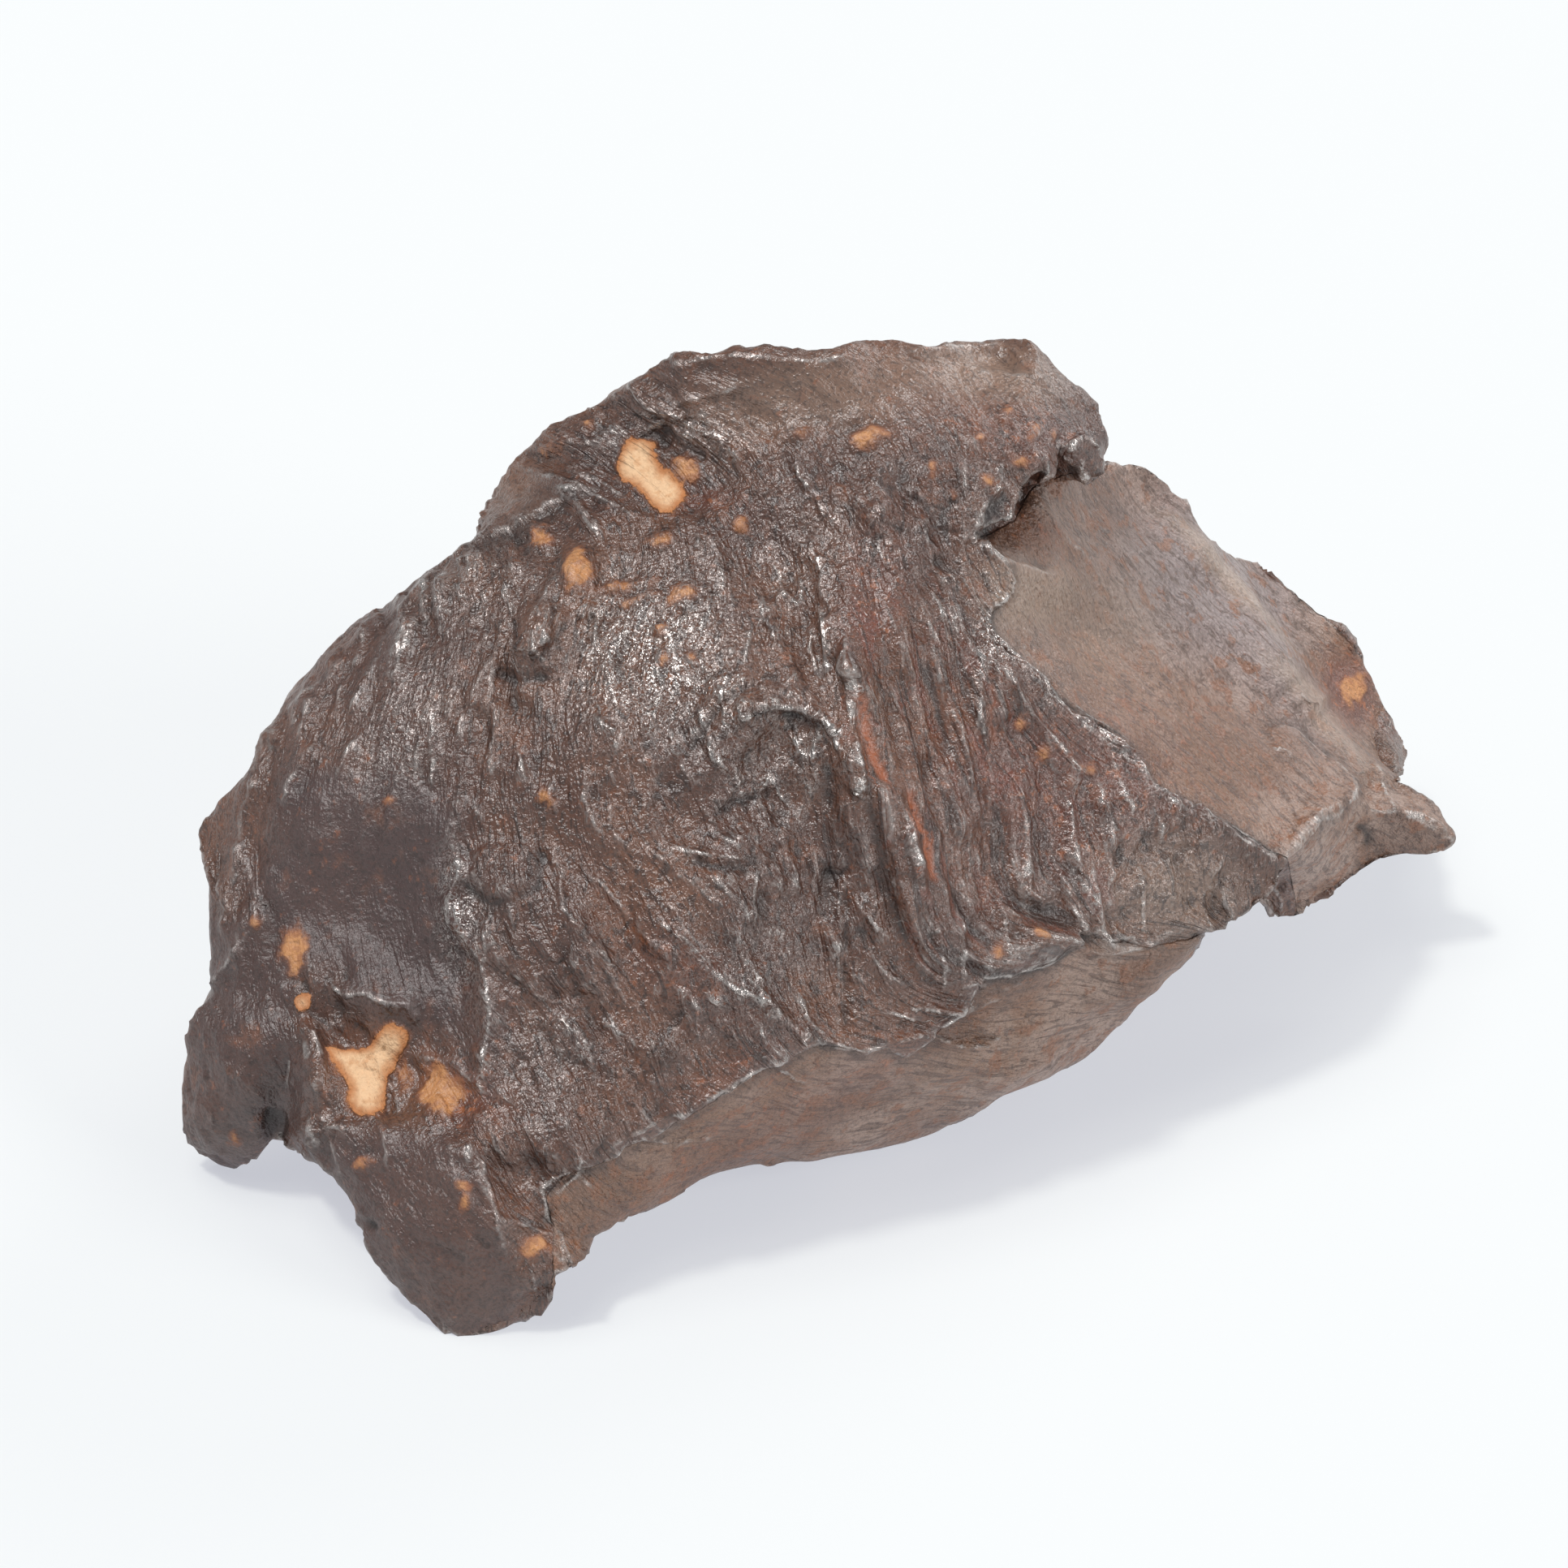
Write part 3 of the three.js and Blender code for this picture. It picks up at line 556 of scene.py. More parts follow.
# The rims round the two smooth sides: the torn side stands up over the smooth one.
RIM_RIGHT = [
    (79.3, 53), (78, 52.4), (76.5, 51.6), (75, 50.5), (73.8, 49.7), (72.6, 49.3), (71.6, 49), (70.8, 48.4),
    (70.2, 47.2), (69.7, 46.2), (69, 45.5), (67.5, 44.7), (67.2, 44.2), (66, 43.9), (65, 42.8), (64.3, 41.8),
    (62, 40), (61.1, 39), (60.9, 38.2), (61.1, 37.7), (61.6, 37.1), (62, 36.5), (62.1, 35.8), (62, 35.2),
    (61.6, 34.5), (61.2, 34.1), (60.5, 33.6), (60, 33.2),
]
RIM_BELOW = [
    (33.5, 75.6), (33.8, 74.5), (33.6, 73.6), (33.4, 73.2), (34.8, 72.4), (35.8, 72), (36.6, 71.8),
    (37.6, 71.3), (38.6, 70.6), (40, 70.1), (40.6, 69.8), (42, 68.8), (44, 67.6), (45.2, 66.9), (47, 65.8),
    (48.8, 64.9), (50, 64.4), (51.8, 64.5), (53.2, 65), (54.6, 64.6), (55.7, 65.2), (57, 64.4), (58.2, 63.4),
    (59.2, 62.5), (59.8, 61.3), (60.3, 60.1), (60.8, 60.2), (62.2, 60.2), (63, 59.9), (65, 59.2),
    (65.4, 58.5), (66.3, 57.4), (66.8, 57.2), (67.2, 57.3), (68, 57.7), (70, 57.8), (70.8, 58.2),
]
ledge(RIM_RIGHT, 0.5, 1.3, 1, 0.4)
ledge(RIM_BELOW, 0.25, 1.6, 0.8, 0.4)

# The scored middle: blades, ledges and grooves.
crest([(48.1, 36.4), (48.7, 37), (49.5, 37.6)], 0.35, 0.3)
crest([(50.1, 38.6), (49.9, 40.2), (50.4, 41.4)], 0.4, 0.35)
crest([(50.9, 38), (51, 39.6), (51.1, 42.2)], 0.3, 0.3)
crest([(52.1, 39.2), (52.2, 41.2), (52.5, 42.6), (52.3, 44), (52.2, 45.2)], 0.35, 0.3, 1)
ledge(
    [(45.3, 43.8), (47.5, 43.6), (49.1, 43.9), (50.5, 44.3), (51.5, 45.2), (52, 45.4)],
    0.35, 1.3, painted_shade=0.35,
)
crest([(52.5, 45.6), (52.9, 47.6), (53, 49.2)], 0.3, 0.3, 1)
groove([(52.7, 42.5), (53.2, 45), (53.9, 47), (54.9, 48.5)], 0.35, 0.4, rust=0.8)
crest([(55.1, 48.6), (55.2, 49.8), (56, 51.4), (56.6, 53.2), (56.8, 54.8), (57.2, 55.8)], 0.35, 0.3, 1)
groove([(55.8, 48.6), (56, 49.8), (56.8, 51.4), (57.4, 53.2), (57.5, 54.4)], 0.3, 0.35, rust=0.9)
groove([(51, 46.8), (51, 50), (51.2, 54.4)], 0.25, 0.45)
groove([(52.1, 54.8), (52.1, 59), (52.1, 63.8)], 0.3, 0.25, painted_shade=0)
crest([(51.7, 55), (51.7, 59), (51.7, 63.6)], 0.12, 0.2, 0.4)
crest([(41.8, 52.4), (44, 52.8), (46, 53)], 0.3, 0.3)
crest([(44, 51.4), (45.8, 52.4)], 0.25, 0.25)
groove([(42.4, 53), (44.4, 53.5), (46.2, 53.6)], 0.3, 0.3)
crest([(46.6, 53.2), (46.4, 54.4), (46.4, 57)], 0.25, 0.28)
crest(
    [(40.6, 56.8), (42.2, 57.8), (43.6, 59.4), (44.8, 60.6), (47.2, 61.8), (49.2, 63.6), (50, 64.5)],
    0.3, 0.3, 0.9,
)
crest(
    [(59.9, 40), (60.8, 40.8), (61.8, 41.5), (62.5, 42.5), (63.1, 43.5), (63.8, 44.4), (65.5, 46.3),
     (66.3, 47.5), (66.1, 48.8)],
    0.3, 0.35, 0.9,
)
crest([(60.4, 40.6), (60.3, 43), (60, 45.2)], 0.3, 0.3, 0.8)
groove([(60.9, 40.8), (61, 43.4), (61.2, 46)], 0.25, 0.3, rust=0.4)
for top, foot in (
    ((67.7, 49.2), (68.7, 51.7)), ((71, 50), (71.7, 51.5)), ((67.2, 54), (67.4, 57)),
    ((70.2, 53), (70.4, 57.5)), ((74, 55), (74.5, 57.5)), ((58.7, 56), (58.9, 60.5)),
    ((57.6, 56.5), (58, 61)), ((61.5, 55.5), (61.6, 59.5)),
    ((63, 52), (63.1, 56)), ((59.4, 50), (59.5, 55)), ((48.2, 36.4), (47, 39)), ((46.4, 38.2), (45.8, 41)),
):
    crest([top, foot], 0.2, 0.25, 0.7)
lump((48, 51.3), 1.2, 1, 0.3)
lump((45, 55.8), 1.1, 2.4, 0.3)
lump((57.5, 63), 2.6, 1.5, -0.2)

# The upper left: a pit with a bright rim, lumps of crust, and folds.
lump((40.4, 29.6), 4.4, 2.2, -0.55, 5, painted_shade=0.12)
ledge(
    [(38.6, 27.2), (40.1, 26.4), (41.5, 25.9), (42.7, 26.4), (44.1, 27.1), (45.1, 28), (45.5, 29.2)],
    0.3, 1.4, 1, 0.1,
)
lump((35.6, 35.3), 1, 1.4, 0.5, orange=True)
for x, y, across, high in (
    (33.3, 33.1, 0.75, 0.7), (45.6, 32.3, 0.45, 0.5), (40.6, 33.4, 1, 0.5), (42.3, 36.6, 1.25, 0.6),
    (40.7, 38.9, 0.5, 0.4), (40.9, 40.6, 0.4, 0.5), (36.3, 26.2, 0.35, 0.35), (42.2, 28.8, 0.9, 0.8),
    (34.1, 27.8, 0.9, 0.35), (53.5, 27, 1.5, 0.55), (48.8, 26.9, 1, 0.3), (38.3, 36.2, 1.6, 0.3),
    (39.6, 36.9, 1.4, 0.3), (42.6, 40.5, 0.4, 0.4), (34.1, 49.5, 0.3, 0.4), (33.6, 49, 0.4, 0.3),
):
    lump((x, y), across, high, 0.3, -14, orange=True)
lump((36.1, 29), 0.8, 0.6, 0.4)
lump((33.3, 39.3), 1.2, 1.9, 0.5, 12)
groove([(30.3, 41.4), (32.2, 41.9), (34.1, 41.7)], 0.35, 0.35)
lump((32.2, 43.5), 0.9, 0.6, -0.25, 30, painted_shade=0.35)
crest([(36.7, 44.2), (37.6, 45), (38.1, 45.2), (37.9, 46.5)], 0.35, 0.3)
groove([(37.8, 41.4), (37.8, 40.7), (38.5, 39.7), (38.7, 39)], 0.3, 0.35)
ledge([(28, 34.2), (30, 33.2), (32.5, 32.2), (35, 30.5), (37, 30)], 0.3, 1.5, 0.6)
crest([(57.5, 21), (60, 23.2), (62, 23.2), (65, 23.8)], 0.25, 0.5, 0.4)
crest([(16.5, 45), (15, 50), (15, 52.5), (16, 55.5)], 0.12, 0.4, 0.4)
crest([(17.3, 44), (20, 42)], 0.15, 0.4, 0.5)
for top, foot in (
    ((23.5, 40.5), (21.5, 44)), ((22, 45.5), (20.7, 48)), ((28, 42.5), (27.5, 44.5)),
    ((25.6, 47.5), (26, 45.5)), ((29, 49.5), (29.9, 50.7)), ((32, 46.2), (32.7, 48.7)),
    ((19.5, 43), (18.4, 45.5)), ((25.6, 38), (24.2, 41)),
):
    crest([top, foot], 0.3, 0.35, 0.8)

# The lower left: the ridges round the hollow, the sockets and the feet.
crest(
    [(28.3, 52.5), (28.5, 54), (27.8, 55.5), (28, 56.7), (28.8, 57.5), (29.8, 59.1), (30.3, 60.8),
     (30.4, 62.7), (30, 65), (30, 66.9)],
    0.5, 0.6, 0.8,
)
lump((31.1, 54), 1.9, 1.8, 0.6)
groove([(28.4, 54.3), (30.3, 55.7), (31.8, 55.6), (33.1, 54.6), (33.4, 52.1)], 0.3, 0.35, painted_shade=0.5)
crest([(34.3, 62.5), (35.8, 64)], 0.3, 0.4, 0.9)
lump((40.8, 64.9), 1.2, 0.9, 0.4, painted_shade=0.5)
crest([(20.2, 60.5), (21.2, 61.3), (22.8, 61.3), (24, 61.9), (25.2, 61.9), (25.8, 63.1)], 0.5, 0.45, 0.9)
crest([(18.4, 62.9), (19.2, 63.9), (19.6, 65.3), (19.6, 67.3)], 0.4, 0.4, 0.6)
crest([(19.8, 68.5), (20.5, 69.5), (22, 70)], 0.35, 0.35, 0.6)
crest([(25.5, 65), (28, 65.5), (30, 67.3)], 0.3, 0.35, 0.6)
crest([(13, 61.1), (13.8, 59.9), (14.8, 58.7), (15.2, 57.9)], 0.4, 0.4, 0.6)
crest(
    [(28.9, 70.1), (28.9, 71.5), (29.6, 72.7), (30.2, 74.1), (30.6, 75.1), (30.8, 76.3), (31.2, 77.3)],
    0.3, 0.4, 0.5,
)
crest([(30.6, 75.1), (32.2, 75.4), (33.2, 75.9), (34.2, 76.2)], 0.3, 0.35, 0.7)
crest([(32.6, 78), (33.1, 79.9)], 0.3, 0.3, 1)
groove([(22.3, 75.3), (23.4, 75.6)], 0.4, 0.3, painted_shade=0.8)
lump((16.9, 69.2), 0.7, 1.1, -0.4, painted_shade=0.9)
CREAM_PATCH = [
    (20.3, 64.9), (21.2, 64.9), (22, 64.8), (22.8, 64.5), (23.4, 63.7), (24.2, 63.2), (25, 63.5), (25, 64.3),
    (24.5, 65.3), (24, 66.3), (23.8, 67.5), (23.4, 68.5), (22.8, 68.9), (22, 68.6), (21.6, 67.9),
    (21.6, 67.2), (20.9, 66.3), (20.3, 65.5),
]
UPPER_CREAM_PATCH = [
    (38.1, 28.3), (38.4, 27.7), (39.2, 27.2), (40.2, 27.4), (40.3, 28.3), (40.6, 28.8), (41.2, 29),
    (41.5, 29.5), (42, 29.8), (41.9, 30.5), (41.4, 31.2), (40.7, 31.2), (40, 30.6), (39.6, 29.9),
    (39.2, 29.6), (38.4, 29.4),
]
for outline in (CREAM_PATCH, UPPER_CREAM_PATCH):
    far = np.where(seen > 0.1, np.maximum(inward(outline) + 0.2, -1), -1)
    relief.height += 0.25 * step_up(far, -0.3, 0.4)
    relief.cream = np.maximum(relief.cream, far)
    relief.orange = np.maximum(relief.orange, np.maximum(far + 0.1, -1))
lump((18.7, 61.8), 0.45, 0.6, 0.1, cream=True)
for x, y, across, high in (
    (18.2, 58.5, 0.9, 1.6), (15.9, 56.9, 0.4, 0.5), (22.5, 71.6, 0.5, 0.35), (28.6, 72.9, 0.5, 0.4),
    (28.7, 74.2, 0.4, 0.5), (24.1, 49.4, 0.4, 0.3), (25, 66.3, 0.5, 1.2), (33, 76.6, 1.1, 0.8),
    (27.2, 67.2, 1.4, 1.7), (14.5, 70, 0.4, 0.5),
):
    lump((x, y), across, high, 0.12, orange=True)

# The lip: burrs along its torn edge, and shade painted into the hollow under it.
crest([(61.6, 32.6), (62.2, 31.6), (62.6, 30.4), (63.4, 29.8)], 0.35, 0.3, 0.9)
crest([(64.6, 29.4), (64.2, 28.4), (63.6, 27.6)], 0.35, 0.3, 0.8)
crest([(66.7, 29.4), (66.3, 28.5), (65.3, 27.9), (65, 27.1)], 0.35, 0.3, 0.9)
crest([(65.3, 27.8), (66.5, 27.1), (67.6, 27.6), (67.7, 28.8)], 0.3, 0.3, 0.9)
crest([(60.2, 32.8), (60.6, 31.5), (61.6, 30.1), (61.8, 28.6)], 0.3, 0.35, 0.7)
for x, y, across, high in (
    (61.2, 31.5, 0.7, 1.4), (66.1, 28.8, 0.4, 0.5), (60.6, 33, 0.6, 0.5),
):
    lump((x, y), across, high, -0.2, 25, painted_shade=0.95)
for x, y, across, high in (
    (62, 25.6, 0.4, 0.5), (63.6, 26.6, 0.35, 0.45), (64.8, 26.8, 0.3, 0.4), (60.4, 27, 0.4, 0.3),
    (60.9, 29.6, 0.35, 0.5), (62.8, 28.4, 0.5, 0.4), (58.7, 30.4, 0.5, 0.3), (57.4, 28.8, 0.4, 0.4),
    (64.2, 46.4, 0.5, 0.5), (65.6, 48.2, 0.3, 0.5), (66.8, 47.4, 0.5, 0.3), (62.8, 44.6, 0.4, 0.5),
    (60.8, 58.6, 0.3, 0.5), (63.4, 57.6, 0.5, 0.35), (83.2, 42.6, 0.9, 1.3),
):
    lump((x, y), across, high, 0.25, 20, orange=True)

# The smooth right face: soft ridges, the lobe's torn rim, and the spur.
for chain in (
    [(72.5, 36.5), (74.1, 38.1), (75.9, 39.6), (77.5, 41.1), (78.9, 42.9)],
    [(79, 43.1), (79.9, 43.7), (81, 44), (82.2, 44.8), (83.1, 45.9), (84.2, 46.7), (85.1, 47.5),
     (86.1, 48.1)],
    [(65, 65), (62.5, 66), (60, 66.5)], [(56, 67), (60, 65), (67, 62), (72, 60.7)],
):
    crest(chain, 0.4, 0.8, 0.15)
crest(
    [(71.2, 31.6), (73, 33.7), (75.5, 36.2), (77.3, 38.3), (78.6, 40.4), (79.4, 42.3), (81.2, 44.2)],
    0.7, 0.8, 0.2, 1.6,
)
ledge(
    [(79.2, 53), (80, 52), (80.7, 51.2), (81.4, 50.4), (82.5, 49.9), (83.2, 49.4), (83.5, 48.7), (83.2, 48),
     (82.5, 47.2),
     (81.5, 46.5), (80.7, 45.7), (79.9, 45), (78.9, 44.7), (77.7, 45.1)],
    0.35, 1.5, 0.7, 0.35,
)
crest([(78, 46.1), (78.7, 46.3), (79.3, 46.7), (79.5, 47.2)], 0.25, 0.3, 1)
crest(
    [(84.2, 46.9), (85, 47.9), (85.3, 48.9), (85.9, 50), (87.2, 50.3), (88.2, 50.8), (89.2, 51.5)],
    0.3, 0.35, 0.9,
)
groove([(83.5, 50.9), (84.3, 51.2), (84.5, 51.8), (84.2, 52.6)], 0.3, 0.3, painted_shade=0.8)
crest([(63.2, 30.5), (64.5, 32), (65.8, 33.5), (67, 34.5)], 0.3, 0.35, 0.5)
ledge([(60.5, 33.6), (62.5, 34.7), (64.5, 35.3), (65.1, 35.2)][::-1], 0.3, 1, 0.5)


def flow_at(x, y):
    """The scoring's direction at one place on the print."""
    ways = sum(
        np.array(way) / ((x - u) ** 2 + (y - v) ** 2 + FLOW_SOFTNESS) ** FLOW_FALLOFF
        for (u, v), way in FLOW_ACROSS_THE_PRINT
    )
    return ways / np.linalg.norm(ways)


def strewn_ticks(where, count, seed, longest, height, wobble, bare):
    """Raised ticks strewn over part of the skin, each along the flow."""
    chance = np.random.default_rng(seed)
    for i in chance.choice(np.flatnonzero((where > 0.6) & (seen > 0.5)), count, replace=False):
        place = np.array([right[i], down[i]])
        chain = [place]
        for _ in range(chance.integers(2, longest)):
            place = place + (flow_at(*place) + chance.normal(0, wobble, 2)) * 0.55
            chain.append(place)
        if chance.random() < 0.5:
            chain.reverse()
        shape = chance.uniform(0.3, 1) * height, chance.uniform(0.2, 0.32), chance.uniform(0.2, 0.9) * bare
        crest(chain, *shape, chance.uniform(1, 4))


strewn_ticks(rough * (1 - striated * 0.5), 210, 91, 9, 0.35, 0.3, 1)
strewn_ticks(rough * striated, 120, 92, 20, 0.26, 0.07, 0.45)

# Where on the print the skin is glossy with painted glints, where a lilac tint is painted as its sheen, where
# it is paler, partly as painted light, and where it is red or tan.
gloss_and_painted_glints = shading(
    (40, 40, 5.5, 6.5, 20, 1.35), (25, 45, 3, 6, 25, 0.9), (30, 36, 5, 3, -20, 0.7), (50, 34, 5, 4, 0, 0.6),
    (48, 46, 5, 4, 0, 0.7), (28.4, 57, 1.5, 5, -8, 1.2), (60, 38, 3, 5, 0, 0.6), (46, 60, 6, 5, 40, 0.55),
    (68, 52, 5, 6, 0, 0.6), (33, 66, 4, 4, 0, 0.5), (62, 39.5, 2, 2, 0, 0.8), (64.5, 42.5, 2.2, 1.2, 40, 0.8),
    (68, 45.5, 2.5, 1, 40, 0.6), (61, 30, 2, 2.5, 0, 0.7), (64.5, 27.5, 3, 1.5, 20, 0.5),
    (43.6, 26.6, 3, 1.3, 25, 0.8), (38.6, 26.8, 2, 1, -20, 0.6),
)
# Paler patches: partly the skin's own tint, partly light painted on the dome, the tops and the ridges.
pale_and_painted_light = shading(
    (31.6, 30.6, 2.4, 2, 0, 0.15), (61, 23, 5, 2, 10, 0.4), (63, 36.5, 3, 2.4, 0, 0.6),
    (72, 54.5, 5, 3.5, 20, 0.35), (75.2, 35.8, 5.5, 0.6, 47, 0.7), (80.6, 43.6, 4.5, 0.6, 46, 0.6),
    (50, 24.4, 7, 2.4, -8, 0.3), (68, 38.5, 3.5, 3, 30, 0.35),
)
# A grey-lilac tint painted as the sheen of the smooth faces.
painted_lilac_sheen = shading(
    (75, 35.5, 6, 6.5, -35, 1), (80, 42, 2.5, 5, -35, 0.7), (58, 24, 5, 2, 10, 0.4), (64, 50, 4, 7, 0, 0.3),
)
red = shading(
    (53.8, 36, 1.8, 4, 0, 0.45), (60, 47, 4, 7, 0, 0.25), (67, 49, 5, 5, 30, 0.5), (63, 27, 4, 2, 20, 0.35),
    (73, 45.5, 7, 4, 40, 0.15), (48, 69, 12, 2, -30, 0.25), (83, 42.6, 1.8, 2.6, -20, 0.9),
    (46, 66, 5, 1.5, -30, 0.2), (42, 60, 5, 2, 30, 0.25), (43, 30.5, 3, 0.8, 10, 0.5),
    (63.2, 33, 2.4, 1.5, 30, 0.4), (28.6, 67.6, 2.6, 1.8, 20, 0.6),
)
tan = shading(
    (72.5, 45.8, 7.5, 4.5, 42, 0.75), (83.5, 42.5, 3, 6, -30, 0.8), (45, 68.8, 12, 2.4, -32, 0.55),
    (61, 64.5, 7, 1.8, -32, 0.4), (63.4, 33, 2.6, 1.6, 30, 0.7), (77, 33, 1.5, 4, -48, 0.4),
)

# The hidden side has the same gloss and painted glints, rust and ochre, strewn by chance.
hidden = 1 - step_up(seen, 0, 0.4)
gloss_and_painted_glints = gloss_and_painted_glints + hidden * step_up(noise(points, 9, 68), -0.25, 0.4) * 0.9
red = red + hidden * step_up(noise(points, 7, 70), 0, 0.6) * 0.35
relief.orange = np.maximum(relief.orange, np.where(hidden > 0.9, (noise(points, 2.6, 69) - 0.7) * 1.5, -1))

# Relief over wide areas.

def scales(spacing, length, lift, seed):
    """Torn scales, drawn out along the flow: each tilts its own way and hides its neighbour's edge."""
    warp = [noise(points, spacing * 1.6, seed + k) * 0.45 for k in (1, 2)]
    place = np.stack([flow_across / spacing + warp[0], flow_along / (spacing * length) + warp[1]], 1)
    cell = np.floor(place)
    chance = np.random.default_rng(seed).random((4, 4096))
    nearest = np.full(len(points), np.inf)
    height = np.zeros(len(points))
    for step in np.ndindex(3, 3):
        corner = cell + step - 1
        key = (corner[:, 0] * 73 + corner[:, 1] * 179).astype(int) & 4095
        x, y, level, way = chance[:, key]
        apart = place - corner - np.stack([x, y], 1)
        far = (apart**2).sum(1)
        angle = way * 2 * math.pi
        tilted = level - 0.5 + (apart[:, 0] * np.cos(angle) + apart[:, 1] * np.sin(angle)) * lift
        height = np.where(far < nearest, tilted, height)
        nearest = np.minimum(nearest, far)
    return height


def ridged(value):
    """Sharp crests where the value is near 0."""
    return 1 - np.minimum(np.abs(value) * 2, 1.3)


big_scales, small_scales = scales(2.3, 1.7, 1.1, 71), scales(1.1, 1.5, 1.1, 81)
folds = flowing(2.6, 4.6, 51, 0.9)
wrinkles = ridged(flowing(1.3, 2.6, 52, 0.7))
grooves = flowing(0.8, 12, 54, 0.1) + ridged(flowing(1.9, 16, 58, 0.2)) * 0.6
waves = noise(points, 9, 55)
lumps = noise(points, 3.2, 56)

uneven = 0.35 + 0.75 * step_up(noise(points, 8, 59), -0.35, 0.35)
brow = 1 - 0.55 * np.exp(-((facing_eye / 0.3) ** 2))  # less relief where the skin turns away
unseen = 1 - seen
height = relief.height
torn = rough * (1 - striated * 0.8)
torn_relief = folds * 0.36 + wrinkles * 0.15 + big_scales * 0.3 + small_scales * 0.14
hidden_relief = ridged(noise(points, 7, 66)) * 0.5 + ridged(noise(points, 3.4, 67)) * 0.25 - 0.35
height = height + torn * uneven * brow * torn_relief
height = height + unseen * brow * hidden_relief
height = height + striated * rough * (grooves * 0.3 + folds * 0.2 + small_scales * 0.06)
height = height + calm * (waves * 0.2 + lumps * 0.2 + wrinkles * 0.14 + small_scales * 0.1)
height = height + plain * (waves * 0.3 + lumps * 0.16 + folds * 0.1)

edge_points = np.unique(edges_of(faces)[0][sharp])
tree = KDTree(len(edge_points))
for number, i in enumerate(edge_points):
    tree.insert(points[i], number)
tree.balance()
from_edge = np.array([tree.find(p)[2] for p in points])

ragged = noise(points, 1.1, 64) + noise(points, 0.6, 65) * 0.5
height = height + np.exp(-((from_edge / 0.55) ** 2)) * ragged * np.where(torn > 0.3, 0.25, 0.12)

resting = step_up(points[:, 2], 0.05, 1.2)
moved = points + normals * (height * resting)[:, None]
low, high = (np.array(corner) / MM for corner in cad_box)
moved = np.clip(moved, low, high)

hill = height - spread(height, faces, 10)
worn = step_up(hill, 0.02, 0.16) * rough
# Painted shade: in grooves, pits and under ledges, and wherever the relief dips below its neighbours.
painted_shade = np.clip(relief.painted_shade + step_up(-hill, 0.04, 0.25) * (0.25 + 0.45 * seen), 0, 1)


# The piece.
mesh = bpy.data.meshes.new("meteorite_skin")
mesh.from_pydata((moved * MM).tolist(), [], faces.tolist())
layers = {
    "worn": worn, "painted_shade": painted_shade, "cream": relief.cream, "orange": relief.orange,
    "from_edge": np.minimum(from_edge, 2), "plain": plain_inward, "mauve": mauve, "striated": striated,
    "calm": calm, "gloss_and_painted_glints": gloss_and_painted_glints, "pale_and_painted_light": pale_and_painted_light, "painted_lilac_sheen": painted_lilac_sheen, "red": red, "tan": tan,
    "across": flow_across, "along": flow_along,
}
for i in range(LINE_SETS):
    layers[f"off_line_{i}"] = relief.off_line[i]
    layers[f"line_shine_{i}"] = relief.line_shine[i]
    layers[f"line_rust_{i}"] = relief.line_rust[i]
for name, values in layers.items():
    layer = mesh.attributes.new(name, "FLOAT", "POINT")
    layer.data.foreach_set("value", np.ascontiguousarray(values, np.float32))
mesh.polygons.foreach_set("use_smooth", np.ones(len(mesh.polygons), bool))
skin = bpy.data.objects.new("meteorite_skin", mesh)
bpy.context.scene.collection.objects.link(skin)


# The iron's finish.

IRON_IOR = 1.75


class Wire:
    """A node's output. Sums on wires add Math nodes to the same material."""

    def __init__(self, socket):
        self.socket = socket

    def sum_with(self, operation, first, second, clamp=False):
        settings = {"operation": operation, "use_clamp": clamp}
        return add_node(self.tree, "ShaderNodeMath", settings, {0: first, 1: second})

    @property
    def tree(self):
        return self.socket.id_data

    def __add__(self, other):
        return self.sum_with("ADD", self, other)

    __radd__ = __add__

    def __sub__(self, other):
        return self.sum_with("SUBTRACT", self, other)

    def __rsub__(self, other):
        return self.sum_with("SUBTRACT", other, self)

    def __mul__(self, other):
        return self.sum_with("MULTIPLY", self, other)

    __rmul__ = __mul__

    def above(self, low, high):
        """0 up to low and 1 from high."""
        settings = {"interpolation_type": "SMOOTHSTEP"}
        values = {"Value": self, "From Min": low, "From Max": high}
        return add_node(self.tree, "ShaderNodeMapRange", settings, values)

    def held(self):
        """Kept between 0 and 1."""
        return self.sum_with("ADD", self, 0, clamp=True)


def add_node(tree, kind, settings=None, values=None, output=0):
    node = tree.nodes.new(kind)
    for name, value in (settings or {}).items():
        setattr(node, name, value)
    for name, value in (values or {}).items():
        if isinstance(value, Wire):
            tree.links.new(value.socket, node.inputs[name])
        else:
            node.inputs[name].default_value = value
    return Wire(node.outputs[output]) if node.outputs else None


def colour(red, green, blue):
    """A colour as a screen shows it, 0 to 255, in the shader's own measure."""
    shares = (value / 255 for value in (red, green, blue))
    return (*(share / 12.92 if share <= 0.04045 else ((share + 0.055) / 1.055) ** 2.4 for share in shares), 1)


def blended(tree, share, first, second):
    return add_node(tree, "ShaderNodeMix", {"data_type": "RGBA"}, {0: share, 6: first, 7: second}, output=2)


